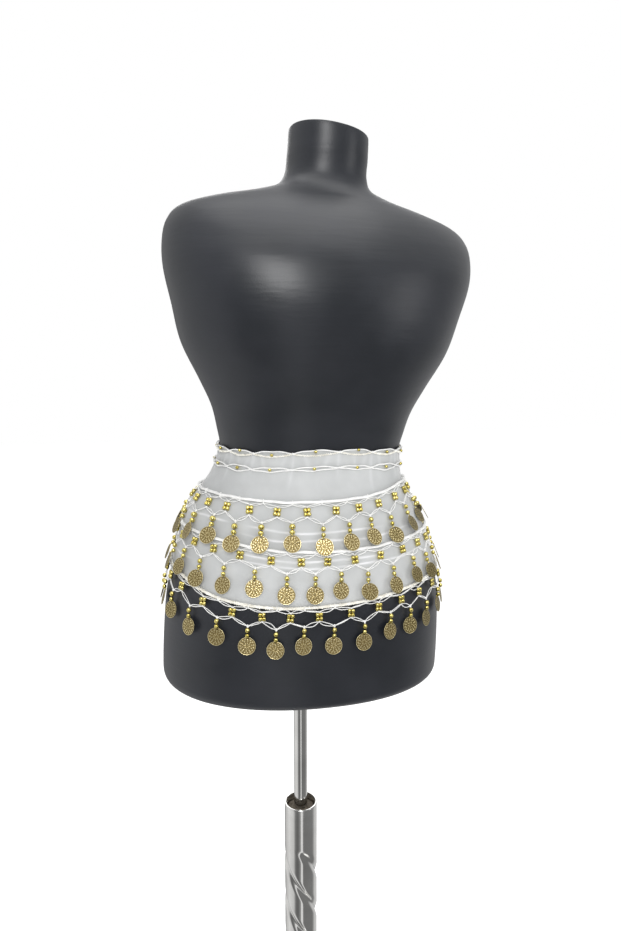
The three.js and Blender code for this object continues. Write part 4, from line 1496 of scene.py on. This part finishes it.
# %% Second edging: two crossing threads, beads
second_routes = [
    edging_route(SECOND_EDGING_DROP, SECOND_EYE_HALF_HEIGHT, sign, SECOND_EYE_SIZES, crossing=True)
    for sign in (-1, 1)
]
second_threads = thread_mesh("second", second_routes, SECOND_THREAD_RADIUS)
second_threads = joined(second_threads, gather(edging_knots(SECOND_EDGING_DROP, SECOND_KNOT_SIZE)))
edging_second = finish_piece(second_threads, "second_threads", LEANING, COTTON)
second_beads = gather(edging_beads(SECOND_EDGING_DROP, EDGING_BEAD_RADIUS, {}))
second_gold = finish_piece(second_beads, "second_beads", LEANING, GOLD)
for piece in (edging_second, second_gold):
    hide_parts("waist_edging_second")
    trims.append(piece)

# %% [markdown]
# ## The cloth's flat size
# The panel is a sheet, cut before it was worn: a curved strip, longer at the hem than at the waist.
# Its flat size was measured from the mesh above.

# %% [markdown]
# ## Floor, light and surroundings
# A shiny thing shows the room, so the room matters more here than the lamps. The background is
# plain white to the camera. What the chrome and the gold mirror is another matter: a soft studio
# with light walls and a few darker upright gaps, brighter at the left. The world node setup gives
# each its own, by the kind of ray that asks. The floor lights the form from below but is kept out
# of the mirrored room, whose walls run on below it, so that the chrome has bands and not one glare.

# %% Floor
def stage_floor():
    finish, shader = start_finish("pale floor", Roughness=0.9, Specular_IOR_Level=0.1)
    patches = object_noise(finish, 3, 2)
    pale = add_ramp(finish, patches, [(0.3, (0.88, 0.88, 0.88)), (0.7, (0.90, 0.90, 0.90))])
    link(finish, pale, shader, "Base Color")
    shader.inputs["Emission Color"].default_value = (1, 1, 1, 1)
    shader.inputs["Emission Strength"].default_value = 0.6
    mesh = bmesh.new()
    bmesh.ops.create_grid(mesh, x_segments=8, y_segments=8, size=9)
    data = bpy.data.meshes.new("floor")
    mesh.to_mesh(data)
    mesh.free()
    data.materials.append(finish)
    floor = bpy.data.objects.new("floor", data)
    bpy.context.collection.objects.link(floor)
    floor.visible_glossy = False


stage_floor()


# %% Surroundings
ROOM_WALLS = [  # share of the way round the room, brightness of the wall there
    (0.00, 0.30),
    (0.012, 1.00),
    (0.035, 1.00),
    (0.05, 0.35),
    (0.10, 0.16),
    (0.15, 0.22),
    (0.19, 0.75),
    (0.30, 0.92),
    (0.42, 0.60),
    (0.50, 0.20),
    (0.56, 0.60),
    (0.62, 0.75),
    (0.72, 0.70),
    (0.79, 0.24),
    (0.98, 0.22),
    (1.00, 0.30),
]
LIGHT_OF_ROOM = 0.45


def surroundings():
    world = bpy.data.worlds.new("studio")
    bpy.context.scene.world = world
    world.use_nodes = True
    nodes = world.node_tree.nodes
    nodes.clear()
    way = add_node(world, "ShaderNodeTexCoord").outputs["Generated"]
    axes = add_node(world, "ShaderNodeSeparateXYZ", Vector=way).outputs
    turn = add_node(world, "ShaderNodeMath", {"operation": "ARCTAN2"}, _0=axes["X"], _1=axes["Y"])
    share = add_range(world, turn.outputs["Value"], -math.pi, math.pi, 0, 1)
    walls = add_ramp(world, share, [(place, (bright,) * 3) for place, bright in ROOM_WALLS])
    ceiling = add_range(world, axes["Z"], 0.25, 0.7, 0, 1)
    room = add_node(world, "ShaderNodeMix", {"data_type": "RGBA"}, Factor=ceiling)
    world.node_tree.links.new(walls, room.inputs["A"])
    room.inputs["B"].default_value = (0.9, 0.9, 0.9, 1)
    rays = add_node(world, "ShaderNodeLightPath").outputs
    light = add_node(world, "ShaderNodeMix", {"data_type": "RGBA"}, Factor=rays["Is Glossy Ray"])
    light.inputs["A"].default_value = (LIGHT_OF_ROOM, LIGHT_OF_ROOM, LIGHT_OF_ROOM, 1)
    world.node_tree.links.new(room.outputs["Result"], light.inputs["B"])
    seen = add_node(world, "ShaderNodeMix", {"data_type": "RGBA"}, Factor=rays["Is Camera Ray"])
    world.node_tree.links.new(light.outputs["Result"], seen.inputs["A"])
    seen.inputs["B"].default_value = (1, 1, 1, 1)
    background = add_node(world, "ShaderNodeBackground", Color=seen.outputs["Result"])
    add_node(world, "ShaderNodeOutputWorld", Surface=background.outputs["Background"])


surroundings()


# %% Lamps
def soft_lamp(name, place, aim, size, power):
    lamp = bpy.data.lights.new(name, "AREA")
    lamp.shape = "RECTANGLE"
    lamp.size, lamp.size_y = size
    lamp.energy = power
    holder = bpy.data.objects.new(name, lamp)
    holder.location = place
    holder.rotation_euler = (Vector(aim) - Vector(place)).to_track_quat("-Z", "Y").to_euler()
    bpy.context.collection.objects.link(holder)


soft_lamp("key", (-0.6, -2.05, 2.05), (0, 0, 1.0), (0.8, 0.9), 25)
soft_lamp("fill", (1.5, -1.3, 1.3), (0, 0, 0.95), (0.5, 1.2), 6)
soft_lamp("over", (0.0, -0.2, 2.7), (0, 0, 0.9), (1.6, 1.6), 14)
soft_lamp("back", (0.4, 1.8, 1.7), (0, 0, 1.0), (1.4, 1.2), 12)
bpy.context.scene.view_settings.view_transform = "Standard"
bpy.context.scene.view_settings.look = "None"
